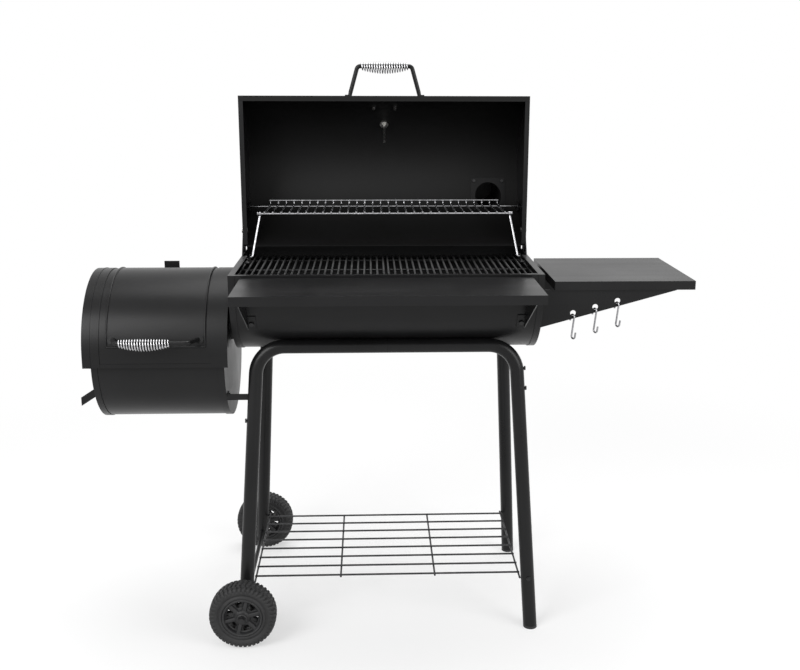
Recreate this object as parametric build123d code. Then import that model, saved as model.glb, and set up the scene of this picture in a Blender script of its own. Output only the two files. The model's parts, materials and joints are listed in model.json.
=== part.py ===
"""Barrel charcoal grill with an offset firebox, standing with its main lid open.

Drawn in millimetres: +X to the right along the barrel, +Y to the back, +Z up from the floor.
Each node is one solid, or one set of like fasteners, and is saved as parts/NODE.step.
"""

import math
import os

from build123d import *

# Sheet, wire and fit
SHEET = 1.5
PLATE = 2.5
FIT = 0.05
GAP = 0.3
SEAT = 0.2
BOLT = 6.0
SMALL_BOLT = 5.0
BOLT_SLACK = 0.4

# Cooking chamber
BOWL_LENGTH = 696.0
BOWL_RADIUS = 180.0
BOWL_RISE = 21.0
RIM_HEIGHT = 843.0
BOWL_HEM = 10.0
BOWL_FLANGE = 12.0
BOWL_FLANGE_REAR = 80.0
BOWL_BAND = 14.0
REAR_LIP = 12.0
GRATE_DROP = 15.0
GRATE_WIRE = 5.0
GRATE_PITCH = 15.0
GRATE_BAR_Y = 130.0
COAL_DROP = 129.0

# Main lid and its hinge
LID_CLEARANCE = 1.0
LID_SETBACK = 1.0
LID_SEAT = 0.5
LID_FLANGE = 11.0
LID_PIVOT_INSET = 34.0
LID_PIVOT_RISE = 53.0
LID_PIN = 8.0
LID_OPEN = 90.0
LID_REST_X = 200.0
LID_REST_WIDTH = 28.0
EAR_BOLT_DROP = 23.0
HANDLE_ROD = 10.0
HANDLE_FOOT = 17.0
LID_HANDLE_FEET = 86.0
LID_HANDLE_BAR = 64.0
LID_HANDLE_REACH = 73.0
LID_HANDLE_HEIGHT = 18.0

# Chimney, thermometer and blank plate on the main lid
CHIMNEY_INSET = 80.0
CHIMNEY_Y = 73.0
CHIMNEY_BORE = 67.0
CHIMNEY_BASE = 165.0
CHIMNEY_LENGTH = 205.0
CHIMNEY_PLATE = 88.0
CHIMNEY_SADDLE = 104.0
GAUGE_ANGLE = 52.0
GAUGE_DIAMETER = 62.0
GAUGE_STEM = 12.0
NEEDLE_TURN = 128.0
PLATE_ANGLE = 33.0
PLATE_BOLTS = 26.0

# Warming rack, its heights and depths taken from the lid's pivot
RACK_WIRE = 5.0
RACK_INSET = 52.0
RACK_FRONT = 84.0
RACK_REAR = 66.0
RACK_RISE = 51.0
RACK_PITCH = 20.0
RACK_FENCE = 13.0
RACK_LEG_SPLAY = 20.0
RACK_LEG_BACK = 121.0
RACK_LEG_DROP = 47.0
RACK_BOLT_DROP = 13.0

# Leg frames, axle and wheels
TUBE = 32.0
TUBE_WALL = 1.5
LEG_BAR_Y = 121.0
LEG_FOOT_SPREAD = 204.0
LEG_TOP_INSET = 52.4
LEG_FLOOR_INSET = 12.0
LEG_BEND = 66.0
RIGHT_SCREW_DROPS = (229.0, 275.0)
LEFT_SCREW_DROPS = (345.0,)
SCREW_STAND = 0.8
SCREW_GRIP = 6.0
BAR_BOLT_X = 146.0
WHEEL_DIAMETER = 152.0
WHEEL_WIDTH = 50.0
WHEEL_MID_Y = 259.0
WHEEL_RIM = 92.0
WHEEL_HUB = 34.0
WHEEL_HUB_PROUD = 4.0
WHEEL_SPOKES = 6
AXLE = 10.0
CAP_HEIGHT = 6.0

# Bottom shelf
LOW_SHELF_Z = 123.0
LOW_SHELF_DEPTH = 340.0
LOW_SHELF_WIRES = 8
LOW_SHELF_WIRE = 4.5
LOW_SHELF_CROSS_X = 111.0

# Front shelf
FRONT_SHELF_INSET = 27.5
FRONT_SHELF_DEPTH = 200.0
FRONT_SHELF_DROP = 5.0
FRONT_SHELF_EDGE = 20.0
FRONT_SHELF_GAP = 4.5
GUSSET_INSET = 8.5
GUSSET_DROP = 129.0
GUSSET_SHEET = 2.0

# Side shelf and hooks
SIDE_SHELF_GAP = 28.0
SIDE_SHELF_WIDTH = 318.0
SIDE_SHELF_DEPTH = 310.0
SIDE_SHELF_DROP = 21.5
SIDE_SHELF_EDGE = 20.0
BRACKET_INSET = 40.0
BRACKET_SETBACK = 9.0
BRACKET_DROP = 128.0
BRACKET_BOLT_DROPS = (103.0, 59.0)
HOOK_START = 72.0
HOOK_PITCH = 50.0
HOOK_WIRE = 4.0
HOOK_RADIUS = 6.0
HOOK_HEIGHT = 57.0
HOOK_TURN = 28.0
HOOK_HOLE = 13.0
HOOK_SLACK = 0.85

# Firebox
BOX_DROP = 206.0
BOX_RADIUS = 159.0
BOX_LENGTH = 296.0
BOX_GAP = 18.0
BOX_FLANGE = 9.0
BOX_GRATE_DROP = 78.0
BOX_END_INSET = 11.0
BOX_END_BAND = 14.0
PORT_RISE = 80.0
PORT_RADIUS = 50.0
COLLAR_RADIUS = 60.0
STRAP_DROP = 84.0
STRAP_HALF = 7.0
STRAP = 3.0
DAMPER_Y = -50.0
DAMPER_DROP = 73.0
DAMPER_RADIUS = 48.0
DAMPER_SHEET = 2.0
DAMPER_LEVER = 66.0
DAMPER_TAB = 46.0
DAMPER_TAB_HALF = 10.0
VENT_RADIUS = 13.0
VENT_REACH = 27.0
RIVET = 8.0

# Firebox lid
BOX_LID_OVER = 14.0
BOX_LID_RISE = 17.0
BOX_LID_SEAT = 1.5
BOX_LID_SKIRT = 3.5
BOX_LID_LEFT_OVER = 15.0
BOX_LID_RIGHT_OVER = 10.0
BOX_LID_HEM = 13.0
BOX_LID_FOLD = 9.0
BOX_LID_FOLD_PROUD = 1.0
BOX_LID_BAND = 38.0
BOX_LID_BEAD = 17.0
BOX_LID_END_RING = 23.0
BOX_PANEL_LEFT_INSET = 55.0
BOX_PANEL_RIGHT_INSET = 49.0
BOX_PANEL_RISE = 48.0
BOX_PANEL_BEAD = 4.4
BOX_HANDLE_INSET = 11.0
BOX_HANDLE_RISE = 59.5
BOX_HANDLE_REACH = 50.0
BOX_HANDLE_LEAN = 18.0
BOX_HINGE_PIN = 5.0
BOX_PIN_OUT = 5.75
BOX_LUG_X = 95.0
BOX_LUG = 3.0
BOX_TAB_WIDTH = 36.0
BOX_TAB_Y = 80.0
BOX_TAB_HEIGHT = 24.0

# Coil grips
COIL_WIRE = 3.0
COIL_LENGTH = 112.0
COIL_TURNS = 19
COIL_MID_RADIUS = 13.0

# Worked-out places of the cooking chamber and main lid
HALF = BOWL_LENGTH / 2
AXIS_Z = RIM_HEIGHT - BOWL_RISE
GRATE_TOP = RIM_HEIGHT - GRATE_DROP
COAL_Z = RIM_HEIGHT - COAL_DROP
LID_RADIUS = BOWL_RADIUS - LID_SETBACK
LID_RIM = RIM_HEIGHT + LID_SEAT
LID_Y = LID_RADIUS - BOWL_RADIUS
LID_HALF = HALF - SHEET - LID_CLEARANCE
LID_PIVOT_Y = BOWL_RADIUS - LID_PIVOT_INSET
LID_PIVOT_Z = RIM_HEIGHT + LID_PIVOT_RISE
PIVOT_AXIS = Axis((0, LID_PIVOT_Y, LID_PIVOT_Z), (1, 0, 0))
CHIMNEY_X = HALF - CHIMNEY_INSET
RACK_HALF = HALF - RACK_INSET
RACK_FRONT_Y = LID_PIVOT_Y - RACK_FRONT
RACK_REAR_Y = LID_PIVOT_Y + RACK_REAR
RACK_Z = LID_PIVOT_Z + RACK_RISE
LEG_FOOT_X = RACK_HALF + RACK_LEG_SPLAY
LEG_FOOT_Y = LID_PIVOT_Y - RACK_LEG_BACK
LEG_FOOT_Z = LID_PIVOT_Z - RACK_LEG_DROP

# Worked-out places of the frame and shelves
TUBE_R = TUBE / 2
LEG_TOP_X = HALF - LEG_TOP_INSET
LEG_FLOOR_X = HALF - LEG_FLOOR_INSET
LEG_BAR_Z = AXIS_Z - math.sqrt((BOWL_RADIUS + TUBE_R + SEAT) ** 2 - LEG_BAR_Y**2)
AXLE_Z = WHEEL_DIAMETER / 2
FRONT_SHELF_HALF = HALF - FRONT_SHELF_INSET
FRONT_SHELF_TOP = RIM_HEIGHT - FRONT_SHELF_DROP
GUSSET_X = FRONT_SHELF_HALF - GUSSET_INSET
GUSSET_LOW_Z = RIM_HEIGHT - GUSSET_DROP
SIDE_SHELF_X = HALF + SIDE_SHELF_GAP
SIDE_SHELF_TOP = RIM_HEIGHT - SIDE_SHELF_DROP
BRACKET_END_X = SIDE_SHELF_X + SIDE_SHELF_WIDTH - BRACKET_INSET
BRACKET_WEB_Y = SIDE_SHELF_DEPTH / 2 - BRACKET_SETBACK
BRACKET_LOW_Z = RIM_HEIGHT - BRACKET_DROP
HOOK_FIRST_X = HALF + HOOK_START

# Worked-out places of the firebox and its lid
BOX_AXIS_Z = RIM_HEIGHT - BOX_DROP
BOX_RIGHT = -HALF - BOX_GAP
BOX_LEFT = BOX_RIGHT - BOX_LENGTH
PORT_Z = BOX_AXIS_Z + PORT_RISE
STRAP_Z = BOX_AXIS_Z - STRAP_DROP
DAMPER_Z = BOX_AXIS_Z - DAMPER_DROP
BOX_LID_RADIUS = BOX_RADIUS + BOX_LID_OVER
BOX_LID_Z = BOX_AXIS_Z + BOX_LID_RISE
BOX_LID_LEFT = BOX_LEFT - BOX_LID_LEFT_OVER
BOX_LID_RIGHT = BOX_RIGHT + BOX_LID_RIGHT_OVER
BOX_LID_MIDDLE = (BOX_LID_LEFT + BOX_LID_RIGHT) / 2
BOX_RIM = BOX_AXIS_Z + BOX_LID_SEAT
BOX_SKIRT_Z = BOX_AXIS_Z - BOX_LID_SKIRT
BOX_PANEL_LEFT = BOX_LID_LEFT + BOX_PANEL_LEFT_INSET
BOX_PANEL_RIGHT = BOX_LID_RIGHT - BOX_PANEL_RIGHT_INSET
BOX_PANEL_LOW = BOX_SKIRT_Z + BOX_PANEL_RISE
BOX_HANDLE_LEFT = BOX_PANEL_LEFT + BOX_HANDLE_INSET
BOX_HANDLE_RIGHT = BOX_PANEL_RIGHT - BOX_HANDLE_INSET
BOX_HANDLE_Z = BOX_AXIS_Z + BOX_HANDLE_RISE
BOX_PIN_Y = BOX_LID_RADIUS + BOX_PIN_OUT
BOX_PIN_Z = BOX_RIM
BOX_LUGS_X = (BOX_LID_MIDDLE - BOX_LUG_X, BOX_LID_MIDDLE + BOX_LUG_X)


# Small builders
def box(x0, x1, y0, y1, z0, z1):
    """Block between two corners."""
    return Pos((x0 + x1) / 2, (y0 + y1) / 2, (z0 + z1) / 2) * Box(x1 - x0, y1 - y0, z1 - z0)


def rod(start, end, diameter):
    """Round bar from one point to another."""
    start, end = Vector(*start), Vector(*end)
    return Solid.make_cylinder(diameter / 2, (end - start).length, Plane(start, z_dir=end - start))


def drum(radius, x0, x1, y, z):
    """Round bar along X."""
    return rod((x0, y, z), (x1, y, z), 2 * radius)


def slab(face, x0, x1):
    """Face drawn in (Y, Z) given a thickness along X."""
    return extrude(Plane.YZ.offset(x0) * face, amount=x1 - x0)


def panel(face, y0, y1):
    """Face drawn in (X, Z) given a thickness along Y."""
    return extrude(Plane((0, y0, 0), x_dir=(1, 0, 0), z_dir=(0, -1, 0)) * face, amount=y0 - y1)


def shape(*points):
    """Closed polygon face from plain points."""
    return make_face(Polyline(*points, close=True))


def trough(radius, rise, y=0.0, z=0.0):
    """Filled U: half disc below (y, z) and straight walls up to the rise."""
    walls = Polyline((y + radius, z), (y + radius, z + rise), (y - radius, z + rise), (y - radius, z))
    return make_face(walls + ThreePointArc((y - radius, z), (y, z - radius), (y + radius, z)))


def arch(radius, low, z):
    """Filled upside-down U about y = 0: half disc above z and straight walls down to a low edge."""
    walls = Polyline((radius, z), (radius, low), (-radius, low), (-radius, z))
    return make_face(walls + ThreePointArc((-radius, z), (0, z + radius), (radius, z)))


def half_disc(radius, y, z, up=1):
    """Filled half disc above or below (y, z)."""
    arc = ThreePointArc((y - radius, z), (y, z + up * radius), (y + radius, z))
    return make_face(arc + Line((y + radius, z), (y - radius, z)))


def disc(radius, y, z):
    """Filled disc at (y, z)."""
    return Pos(y, z) * Circle(radius)


def bent(points, diameter, radius):
    """Round wire through the points with rounded corners."""
    path = FilletPolyline(*points, radius=radius)
    return sweep(Plane(path @ 0, z_dir=path % 0) * Circle(diameter / 2), path=path)


def joined(pieces):
    """All pieces welded to one solid."""
    first, *rest = pieces
    return first.fuse(*rest)


def bolt(seat, way, grip, head=12.0, head_height=3.0, nut=10.0, nut_height=4.0, shank=BOLT):
    """Bolt whose head sits at the seat, with its nut beyond the grip."""
    seat, way = Vector(*seat), Vector(*way).normalized()
    body = rod(seat - way * head_height, seat, head)
    body += rod(seat, seat + way * (grip + nut_height), shank)
    if nut:
        at = Plane(seat + way * grip, z_dir=way)
        body += extrude(at * RegularPolygon(nut / 2, 6), amount=nut_height)
    return body


def bolt_hole(seat, way, grip, shank=BOLT):
    """Clearance hole along a bolt's grip, a little longer at both ends."""
    seat, way = Vector(*seat), Vector(*way).normalized()
    return rod(seat - way * shank, seat + way * (grip + shank), shank + BOLT_SLACK)


def sided(side, near, far):
    """The two X or Y places on one side, the smaller first."""
    return sorted((side * near, side * far))


def both(make):
    """The left and right copies of a piece made for a side, -1 or +1."""
    return [make(-1), make(1)]


def swing(piece, degrees=-LID_OPEN):
    """Lid piece drawn shut, turned to where it stands open."""
    return piece.rotate(PIVOT_AXIS, degrees)


def swung(y, z, degrees=-LID_OPEN):
    """Point of the shut lid after the same turn."""
    turn = math.radians(degrees)
    dy, dz = y - LID_PIVOT_Y, z - LID_PIVOT_Z
    return (
        LID_PIVOT_Y + dy * math.cos(turn) - dz * math.sin(turn),
        LID_PIVOT_Z + dy * math.sin(turn) + dz * math.cos(turn),
    )


# Coil grips
def coil(centre, length, sag):
    """Barrel-shaped coil along X, slack in its middle along the sag direction.

    The helix is drawn as pairs of tangent arcs, one pair to a quarter turn.
    """
    end_radius = HANDLE_ROD / 2 + COIL_WIRE / 2 + 0.5
    steps = 4 * COIL_TURNS

    def at(turn):
        share = turn / COIL_TURNS
        radius = end_radius + (COIL_MID_RADIUS - end_radius) * math.sin(math.pi * share) ** 0.8
        drop = 0.6 * (radius - end_radius)
        angle = 2 * math.pi * turn
        return Vector(
            centre[0] - length / 2 + length * share,
            centre[1] + sag[0] * drop + radius * math.cos(angle),
            centre[2] + sag[1] * drop + radius * math.sin(angle),
        )

    def along(turn):
        step = 1e-4
        low, high = max(turn - step, 0.0), min(turn + step, COIL_TURNS)
        return (at(high) - at(low)).normalized()

    knots = [COIL_TURNS * i / steps for i in range(steps + 1)]
    edges = [Line(at(0) - along(0) * COIL_WIRE, at(0))]
    for low, high in zip(knots, knots[1:]):
        p0, p1, t0, t1 = at(low), at(high), along(low), along(high)
        v = p1 - p0
        a, b, c = 2 * (1 - t0.dot(t1)), 2 * v.dot(t0 + t1), -v.dot(v)
        d = (-b + math.sqrt(b * b - 4 * a * c)) / (2 * a)
        middle = ((p0 + t0 * d) + (p1 - t1 * d)) * 0.5
        edges.append(TangentArc(p0, middle, tangent=t0))
        edges.append(TangentArc(middle, p1, tangent=(p1 - t1 * d) - (p0 + t0 * d)))
    edges.append(Line(at(COIL_TURNS), at(COIL_TURNS) + along(COIL_TURNS) * COIL_WIRE))

    samples = [at(i / 24) for i in range(24 * COIL_TURNS + 1)]
    pairs = [(i, j) for i in range(len(samples)) for j in range(i + 12, min(i + 60, len(samples)))]
    near = min((samples[i] - samples[j]).length for i, j in pairs)
    print(f"coil: least gap between turns {near - COIL_WIRE:.2f} mm")
    path = Wire(edges)
    return sweep(Plane(path @ 0, z_dir=path % 0) * Circle(COIL_WIRE / 2), path=path)


# Fastener places shared by the plates they pass through
BAR_BOLTS = [(x, side) for x in (-BAR_BOLT_X, BAR_BOLT_X) for side in (-1, 1)]
EAR_BOLTS = [(LID_PIVOT_Y + y, RIM_HEIGHT - EAR_BOLT_DROP) for y in (-34.0, 14.0)]
BRACKET_BOLTS_Z = [RIM_HEIGHT - drop for drop in BRACKET_BOLT_DROPS]
COLLAR_BOLTS = [(COLLAR_RADIUS - SMALL_BOLT, math.radians(a)) for a in (45, 135, 225, 315)]
RACK_FOOT_BOLT_Z = RIM_HEIGHT - RACK_BOLT_DROP


def bar_bolt(x, side):
    """Bolt from inside the bowl into a leg bar, its nut inside the tube."""
    away = Vector(0, side * LEG_BAR_Y, LEG_BAR_Z - AXIS_Z).normalized()
    seat = Vector(x, 0, AXIS_Z) + away * (BOWL_RADIUS - SHEET - SEAT)
    return tuple(seat), tuple(away), SHEET + 2 * SEAT + TUBE_WALL + 1.2


def ear_bolt(side, y, z):
    """Ear bolt, head outside, nut inside the bowl."""
    return (side * (HALF + PLATE), y, z), (-side, 0, 0), PLATE + SHEET


def bracket_bolt(side, z):
    """Side-shelf bracket bolt through the bowl's right end."""
    return (HALF + PLATE, side * (BRACKET_WEB_Y - BRACKET_SETBACK), z), (-1, 0, 0), PLATE + SHEET


def leg_screws(side):
    """Screws in the outer sides of a frame's right and left legs."""
    screws = []
    for end, drops in ((1, RIGHT_SCREW_DROPS), (-1, LEFT_SCREW_DROPS)):
        for z in [RIM_HEIGHT - drop for drop in drops]:
            x, y, _ = leg_point(side, z)
            screws.append(((end * (x + TUBE_R + SCREW_STAND), y, z), (-end, 0, 0), SCREW_GRIP))
    return screws


def shelf_screw(end, side):
    """Screw in the outer face of a leg at the bottom shelf; end is -1 for the left."""
    x, y, _ = leg_point(side, LOW_SHELF_Z)
    return (end * x, y + side * (TUBE_R + SCREW_STAND), LOW_SHELF_Z), (0, -side, 0), SCREW_GRIP


def collar_bolt(radius, angle):
    """Bolt through firebox end, collar and bowl end."""
    y, z = radius * math.cos(angle), PORT_Z + radius * math.sin(angle)
    return (BOX_RIGHT, y, z), (1, 0, 0), -HALF + SHEET - BOX_RIGHT


def rack_foot_bolt(side):
    """Bolt of a rack foot through the bowl's end, head outside."""
    return (side * HALF, LEG_FOOT_Y, RACK_FOOT_BOLT_Z), (-side, 0, 0), SHEET + GUSSET_SHEET


def gusset_bolt(side):
    """Bolt of a front-shelf gusset's tongue through the bowl wall."""
    drop = AXIS_Z - (GUSSET_LOW_Z + 16.0)
    away = Vector(0, -math.sqrt(BOWL_RADIUS**2 - drop**2), -drop).normalized()
    seat = Vector(side * (GUSSET_X - 10.0), 0, AXIS_Z) + away * (BOWL_RADIUS + GUSSET_SHEET + SEAT)
    return tuple(seat), tuple(away * -1), GUSSET_SHEET + SHEET + 3 * SEAT


parts = {}


# Bowl
def make_bowl():
    """Curved wall with a lip at the back, and two pressed ends with bands and inward flanges."""
    inside = HALF - SHEET
    reach = BOWL_RADIUS - SHEET
    body = trough(BOWL_RADIUS, BOWL_RISE, 0, AXIS_Z)
    wall = slab(body, -inside, inside)
    wall -= slab(trough(reach, BOWL_RISE + 1, 0, AXIS_Z), -inside, inside)
    wall += box(-inside, inside, -reach - 0.5, -reach + BOWL_HEM, RIM_HEIGHT - SHEET, RIM_HEIGHT)
    wall += box(-inside, inside, reach, BOWL_RADIUS, AXIS_Z, RIM_HEIGHT + REAR_LIP)
    for x, side in BAR_BOLTS:
        wall -= bolt_hole(*bar_bolt(x, side))
    for side in (-1, 1):
        wall -= bolt_hole(*gusset_bolt(side))
    parts["bowl_shell"] = wall

    for side, name in ((-1, "bowl_end_left"), (1, "bowl_end_right")):
        end = slab(body, *sided(side, inside, HALF))
        band = trough(BOWL_RADIUS + SHEET, BOWL_RISE, 0, AXIS_Z) - body
        end += slab(band, *sided(side, HALF - BOWL_BAND, HALF))
        x0, x1 = sided(side, inside - BOWL_FLANGE, inside + 0.5)
        end += box(x0, x1, -reach + BOWL_HEM, BOWL_FLANGE_REAR, RIM_HEIGHT - SHEET, RIM_HEIGHT)
        end -= bolt_hole(*rack_foot_bolt(side))
        for y, z in EAR_BOLTS:
            end -= bolt_hole(*ear_bolt(side, y, z))
        if side < 0:
            end -= drum(PORT_RADIUS, -HALF - 1, -inside + 1, 0, PORT_Z)
            for radius, angle in COLLAR_BOLTS:
                end -= bolt_hole(*collar_bolt(radius, angle))
        else:
            for half in (-1, 1):
                for z in BRACKET_BOLTS_Z:
                    end -= bolt_hole(*bracket_bolt(half, z))
        parts[name] = end


def make_ears():
    """Hinge ears outside the bowl ends, the pivots on which the lid turns and the rests it opens to."""
    at = (LID_PIVOT_Y, LID_PIVOT_Z)
    corners = [(-48, -92), (30, -92), (26, -38), (9.2, 2), (-9.2, 2), (-42, -58)]
    outline = shape(*[(LID_PIVOT_Y + y, LID_PIVOT_Z + z) for y, z in corners]) + disc(9.5, *at)
    pin_r = LID_PIN / 2
    ears, pivots = [], []
    for side in (-1, 1):
        x0, x1 = sided(side, HALF, HALF + PLATE)
        ear = slab(outline, x0, x1) - drum(pin_r + FIT, x0 - 1, x1 + 1, *at)
        for y, z in EAR_BOLTS:
            ear -= bolt_hole(*ear_bolt(side, y, z))
        ears.append(ear)
        pin = drum(pin_r, *sided(side, LID_HALF - 6, HALF + PLATE), *at)
        pin += drum(pin_r + 3, *sided(side, HALF + PLATE, HALF + 2 * PLATE), *at)
        pin += drum(pin_r + 3, *sided(side, LID_HALF + GAP, HALF), *at)
        pin += drum(pin_r + 2.5, *sided(side, LID_HALF - 6, LID_HALF - SHEET - GAP), *at)
        pivots.append(pin)
    parts["hinge_ears"] = Compound(ears)
    parts["lid_pivots"] = Compound(pivots)

    centre_y, centre_z = swung(LID_Y, LID_RIM)
    top = centre_z - math.sqrt(LID_RADIUS**2 - (BOWL_RADIUS - centre_y) ** 2) - GAP

    def rest(side):
        x0, x1 = sided(side, LID_REST_X - LID_REST_WIDTH / 2, LID_REST_X + LID_REST_WIDTH / 2)
        return box(x0, x1, BOWL_RADIUS, BOWL_RADIUS + PLATE, AXIS_Z + 2, top)

    parts["lid_rests"] = Compound(both(rest))


# Grates
def grid(x0, x1, reach, top, wire, pitch, bars):
    """Wire grate: wires along Y laid over bars along X."""
    count = max(2, round((x1 - x0 - wire) / pitch))
    step = (x1 - x0 - wire) / count
    places = [x0 + wire / 2 + i * step for i in range(count + 1)]
    wires = [rod((x, -reach, top - wire / 2), (x, reach, top - wire / 2), wire) for x in places]
    low = top - wire * 1.5 + 0.8
    cross = [rod((x0, y, low), (x1, y, low), wire) for y in bars]
    return joined(wires + cross)


def make_grates():
    """Cooking grates on their ledges, and the charcoal grate below."""
    inside = HALF - SHEET
    reach = BOWL_RADIUS - SHEET
    ledge_top = GRATE_TOP - GRATE_WIRE

    def ledge(side):
        x0, x1 = -inside + 20, inside - 20
        angle = box(x0, x1, *sided(side, reach - 12, reach), ledge_top - SHEET, ledge_top)
        angle += box(x0, x1, *sided(side, reach - SHEET, reach), ledge_top - 9, ledge_top)
        return angle & slab(trough(reach - 0.1, BOWL_RISE, 0, AXIS_Z), -inside, inside)

    parts["grate_ledges"] = Compound(both(ledge))
    bars = (-GRATE_BAR_Y, 0.0, GRATE_BAR_Y)
    wire, pitch = GRATE_WIRE, GRATE_PITCH
    parts["cooking_grate_left"] = grid(-inside + 6, -3, reach - 2.5, GRATE_TOP, wire, pitch, bars)
    parts["cooking_grate_right"] = grid(3, inside - 6, reach - 2.5, GRATE_TOP, wire, pitch, bars)
    rest = math.sqrt(reach**2 - (AXIS_Z - COAL_Z) ** 2) - 1.0
    bars = (-rest + 22, 0, rest - 22)
    parts["charcoal_grate"] = grid(-inside + 30, inside - 30, rest, COAL_Z + wire, wire, 2 * pitch, bars)


# Main lid, drawn shut and then swung open
def lid_normal(degrees):
    """Outward direction of the lid wall, measured up from its front rim."""
    a = math.radians(degrees)
    return Vector(0, -math.cos(a), math.sin(a))


def on_lid(x, degrees, radius=LID_RADIUS):
    """Point on the shut lid's wall."""
    return Vector(x, LID_Y, LID_RIM) + lid_normal(degrees) * radius


def lid_ring(outer, inner, half):
    """Half ring following the lid wall."""
    ring = slab(half_disc(outer, LID_Y, LID_RIM), -half, half)
    return ring - slab(disc(inner, LID_Y, LID_RIM), -half - 1, half + 1)


def chimney_bolts():
    """Places of the chimney plate's bolts in plan."""
    span = CHIMNEY_PLATE / 2 - 8
    return [(CHIMNEY_X + i * span, CHIMNEY_Y + j * span) for i in (-1, 1) for j in (-1, 1)]


def chimney_bolt(x, y):
    """Bolt square to the lid wall, head outside."""
    lift = math.sqrt(LID_RADIUS**2 - (y - LID_Y) ** 2)
    out = Vector(0, y - LID_Y, lift).normalized()
    seat = Vector(x, LID_Y, LID_RIM) + out * (LID_RADIUS + 2.2)
    return tuple(seat), tuple(out * -1), 2.0 + SHEET + 2.0 + 0.8


def handle_bolt(x):
    """Bolt of a lid-handle foot, from inside the lid."""
    out = lid_normal(math.degrees(math.asin(LID_HANDLE_HEIGHT / LID_RADIUS)))
    seat = Vector(x, LID_Y, LID_RIM) + out * (LID_RADIUS - SHEET - 0.2)
    return tuple(seat), tuple(out), SHEET + 2.6


def plate_bolt(x):
    """Bolt of the blank plate, head outside."""
    seat = on_lid(x, PLATE_ANGLE, LID_RADIUS + 2.6)
    return tuple(seat), tuple(lid_normal(PLATE_ANGLE) * -1), 2.0 + SHEET + 1.0


def make_lid():
    """Lid wall, its two ends and everything fixed to it."""
    inside = LID_HALF - SHEET
    inner = LID_RADIUS - SHEET
    wall = lid_ring(LID_RADIUS, inner, inside)
    wall += box(-inside, inside, LID_Y - inner - 0.5, LID_Y - inner + LID_FLANGE, LID_RIM, LID_RIM + SHEET)
    wall -= rod((CHIMNEY_X, CHIMNEY_Y, LID_RIM + 60), (CHIMNEY_X, CHIMNEY_Y, LID_RIM + 260), CHIMNEY_BORE)
    for x, y in chimney_bolts():
        wall -= bolt_hole(*chimney_bolt(x, y), shank=SMALL_BOLT)
    for x in (-LID_HANDLE_FEET, LID_HANDLE_FEET):
        wall -= bolt_hole(*handle_bolt(x))
    for x in (-PLATE_BOLTS, PLATE_BOLTS):
        wall -= bolt_hole(*plate_bolt(x), shank=SMALL_BOLT)
    gauge = lid_normal(GAUGE_ANGLE)
    stem = [on_lid(0, GAUGE_ANGLE, radius) for radius in (inner - 5, LID_RADIUS + 5)]
    wall -= rod(*stem, GAUGE_STEM + 2 * GAP)
    parts["lid_shell"] = swing(wall)

    for side, name in ((-1, "lid_end_left"), (1, "lid_end_right")):
        x0, x1 = sided(side, inside, LID_HALF)
        end = slab(half_disc(LID_RADIUS, LID_Y, LID_RIM), x0, x1)
        f0, f1 = sided(side, LID_HALF - LID_FLANGE, inside + 0.5)
        end += box(f0, f1, LID_Y - inner + LID_FLANGE + GAP, LID_Y + inner - 3, LID_RIM, LID_RIM + SHEET)
        end -= drum(LID_PIN / 2 + FIT, x0 - 1, x1 + 1, LID_PIVOT_Y, LID_PIVOT_Z)
        parts[name] = swing(end) + hanger(side)

    parts["lid_handle"] = swing(lid_handle())
    bar = Vector(0, LID_Y - LID_RADIUS - LID_HANDLE_REACH + HANDLE_ROD / 2, LID_RIM + LID_HANDLE_HEIGHT)
    bar_y, bar_z = swung(bar.Y, bar.Z)
    parts["lid_handle_coil"] = coil((0, bar_y, bar_z), COIL_LENGTH, (0, -1))
    make_chimney()
    make_gauge(gauge)

    flat = Plane(on_lid(0, PLATE_ANGLE, LID_RADIUS + 0.6), x_dir=(1, 0, 0), z_dir=lid_normal(PLATE_ANGLE))
    blank = extrude(flat * RectangleRounded(74, 24, 4), amount=2.0)
    for x in (-PLATE_BOLTS, PLATE_BOLTS):
        blank -= bolt_hole(*plate_bolt(x), shank=SMALL_BOLT)
    parts["blank_plate"] = swing(blank)

    bolts = [bolt(*chimney_bolt(x, y), head=9, nut=8, shank=SMALL_BOLT) for x, y in chimney_bolts()]
    for x in (-PLATE_BOLTS, PLATE_BOLTS):
        bolts.append(bolt(*plate_bolt(x), head=8, head_height=2, nut=8, shank=SMALL_BOLT))
    for x in (-LID_HANDLE_FEET, LID_HANDLE_FEET):
        bolts.append(bolt(*handle_bolt(x), head_height=4, nut=0, nut_height=0))
    stem = Plane(on_lid(0, GAUGE_ANGLE, LID_RADIUS - SHEET - 6.0), x_dir=(1, 0, 0), z_dir=gauge)
    bolts.append(extrude(stem * (RegularPolygon(11, 6) - Circle(GAUGE_STEM / 2 + FIT)), amount=5.6))
    parts["lid_bolts"] = Compound([swing(item) for item in bolts])


def lid_handle():
    """Bent rod with two flattened feet on the lid's front wall."""
    y, z = LID_Y - LID_RADIUS, LID_RIM + LID_HANDLE_HEIGHT
    far = y - LID_HANDLE_REACH + HANDLE_ROD / 2
    feet, bar = LID_HANDLE_FEET, LID_HANDLE_BAR
    frame = bent([(-feet, y + 10, z), (-bar, far, z), (bar, far, z), (feet, y + 10, z)], HANDLE_ROD, 9)
    for x in (-feet, feet):
        frame += rod((x, y + 10, z), (x, y - 2.2, z), HANDLE_FOOT)
    frame -= slab(disc(LID_RADIUS, LID_Y, LID_RIM), -feet - 20, feet + 20)
    for x in (-feet, feet):
        frame -= bolt_hole(*handle_bolt(x))
    return frame


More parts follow.
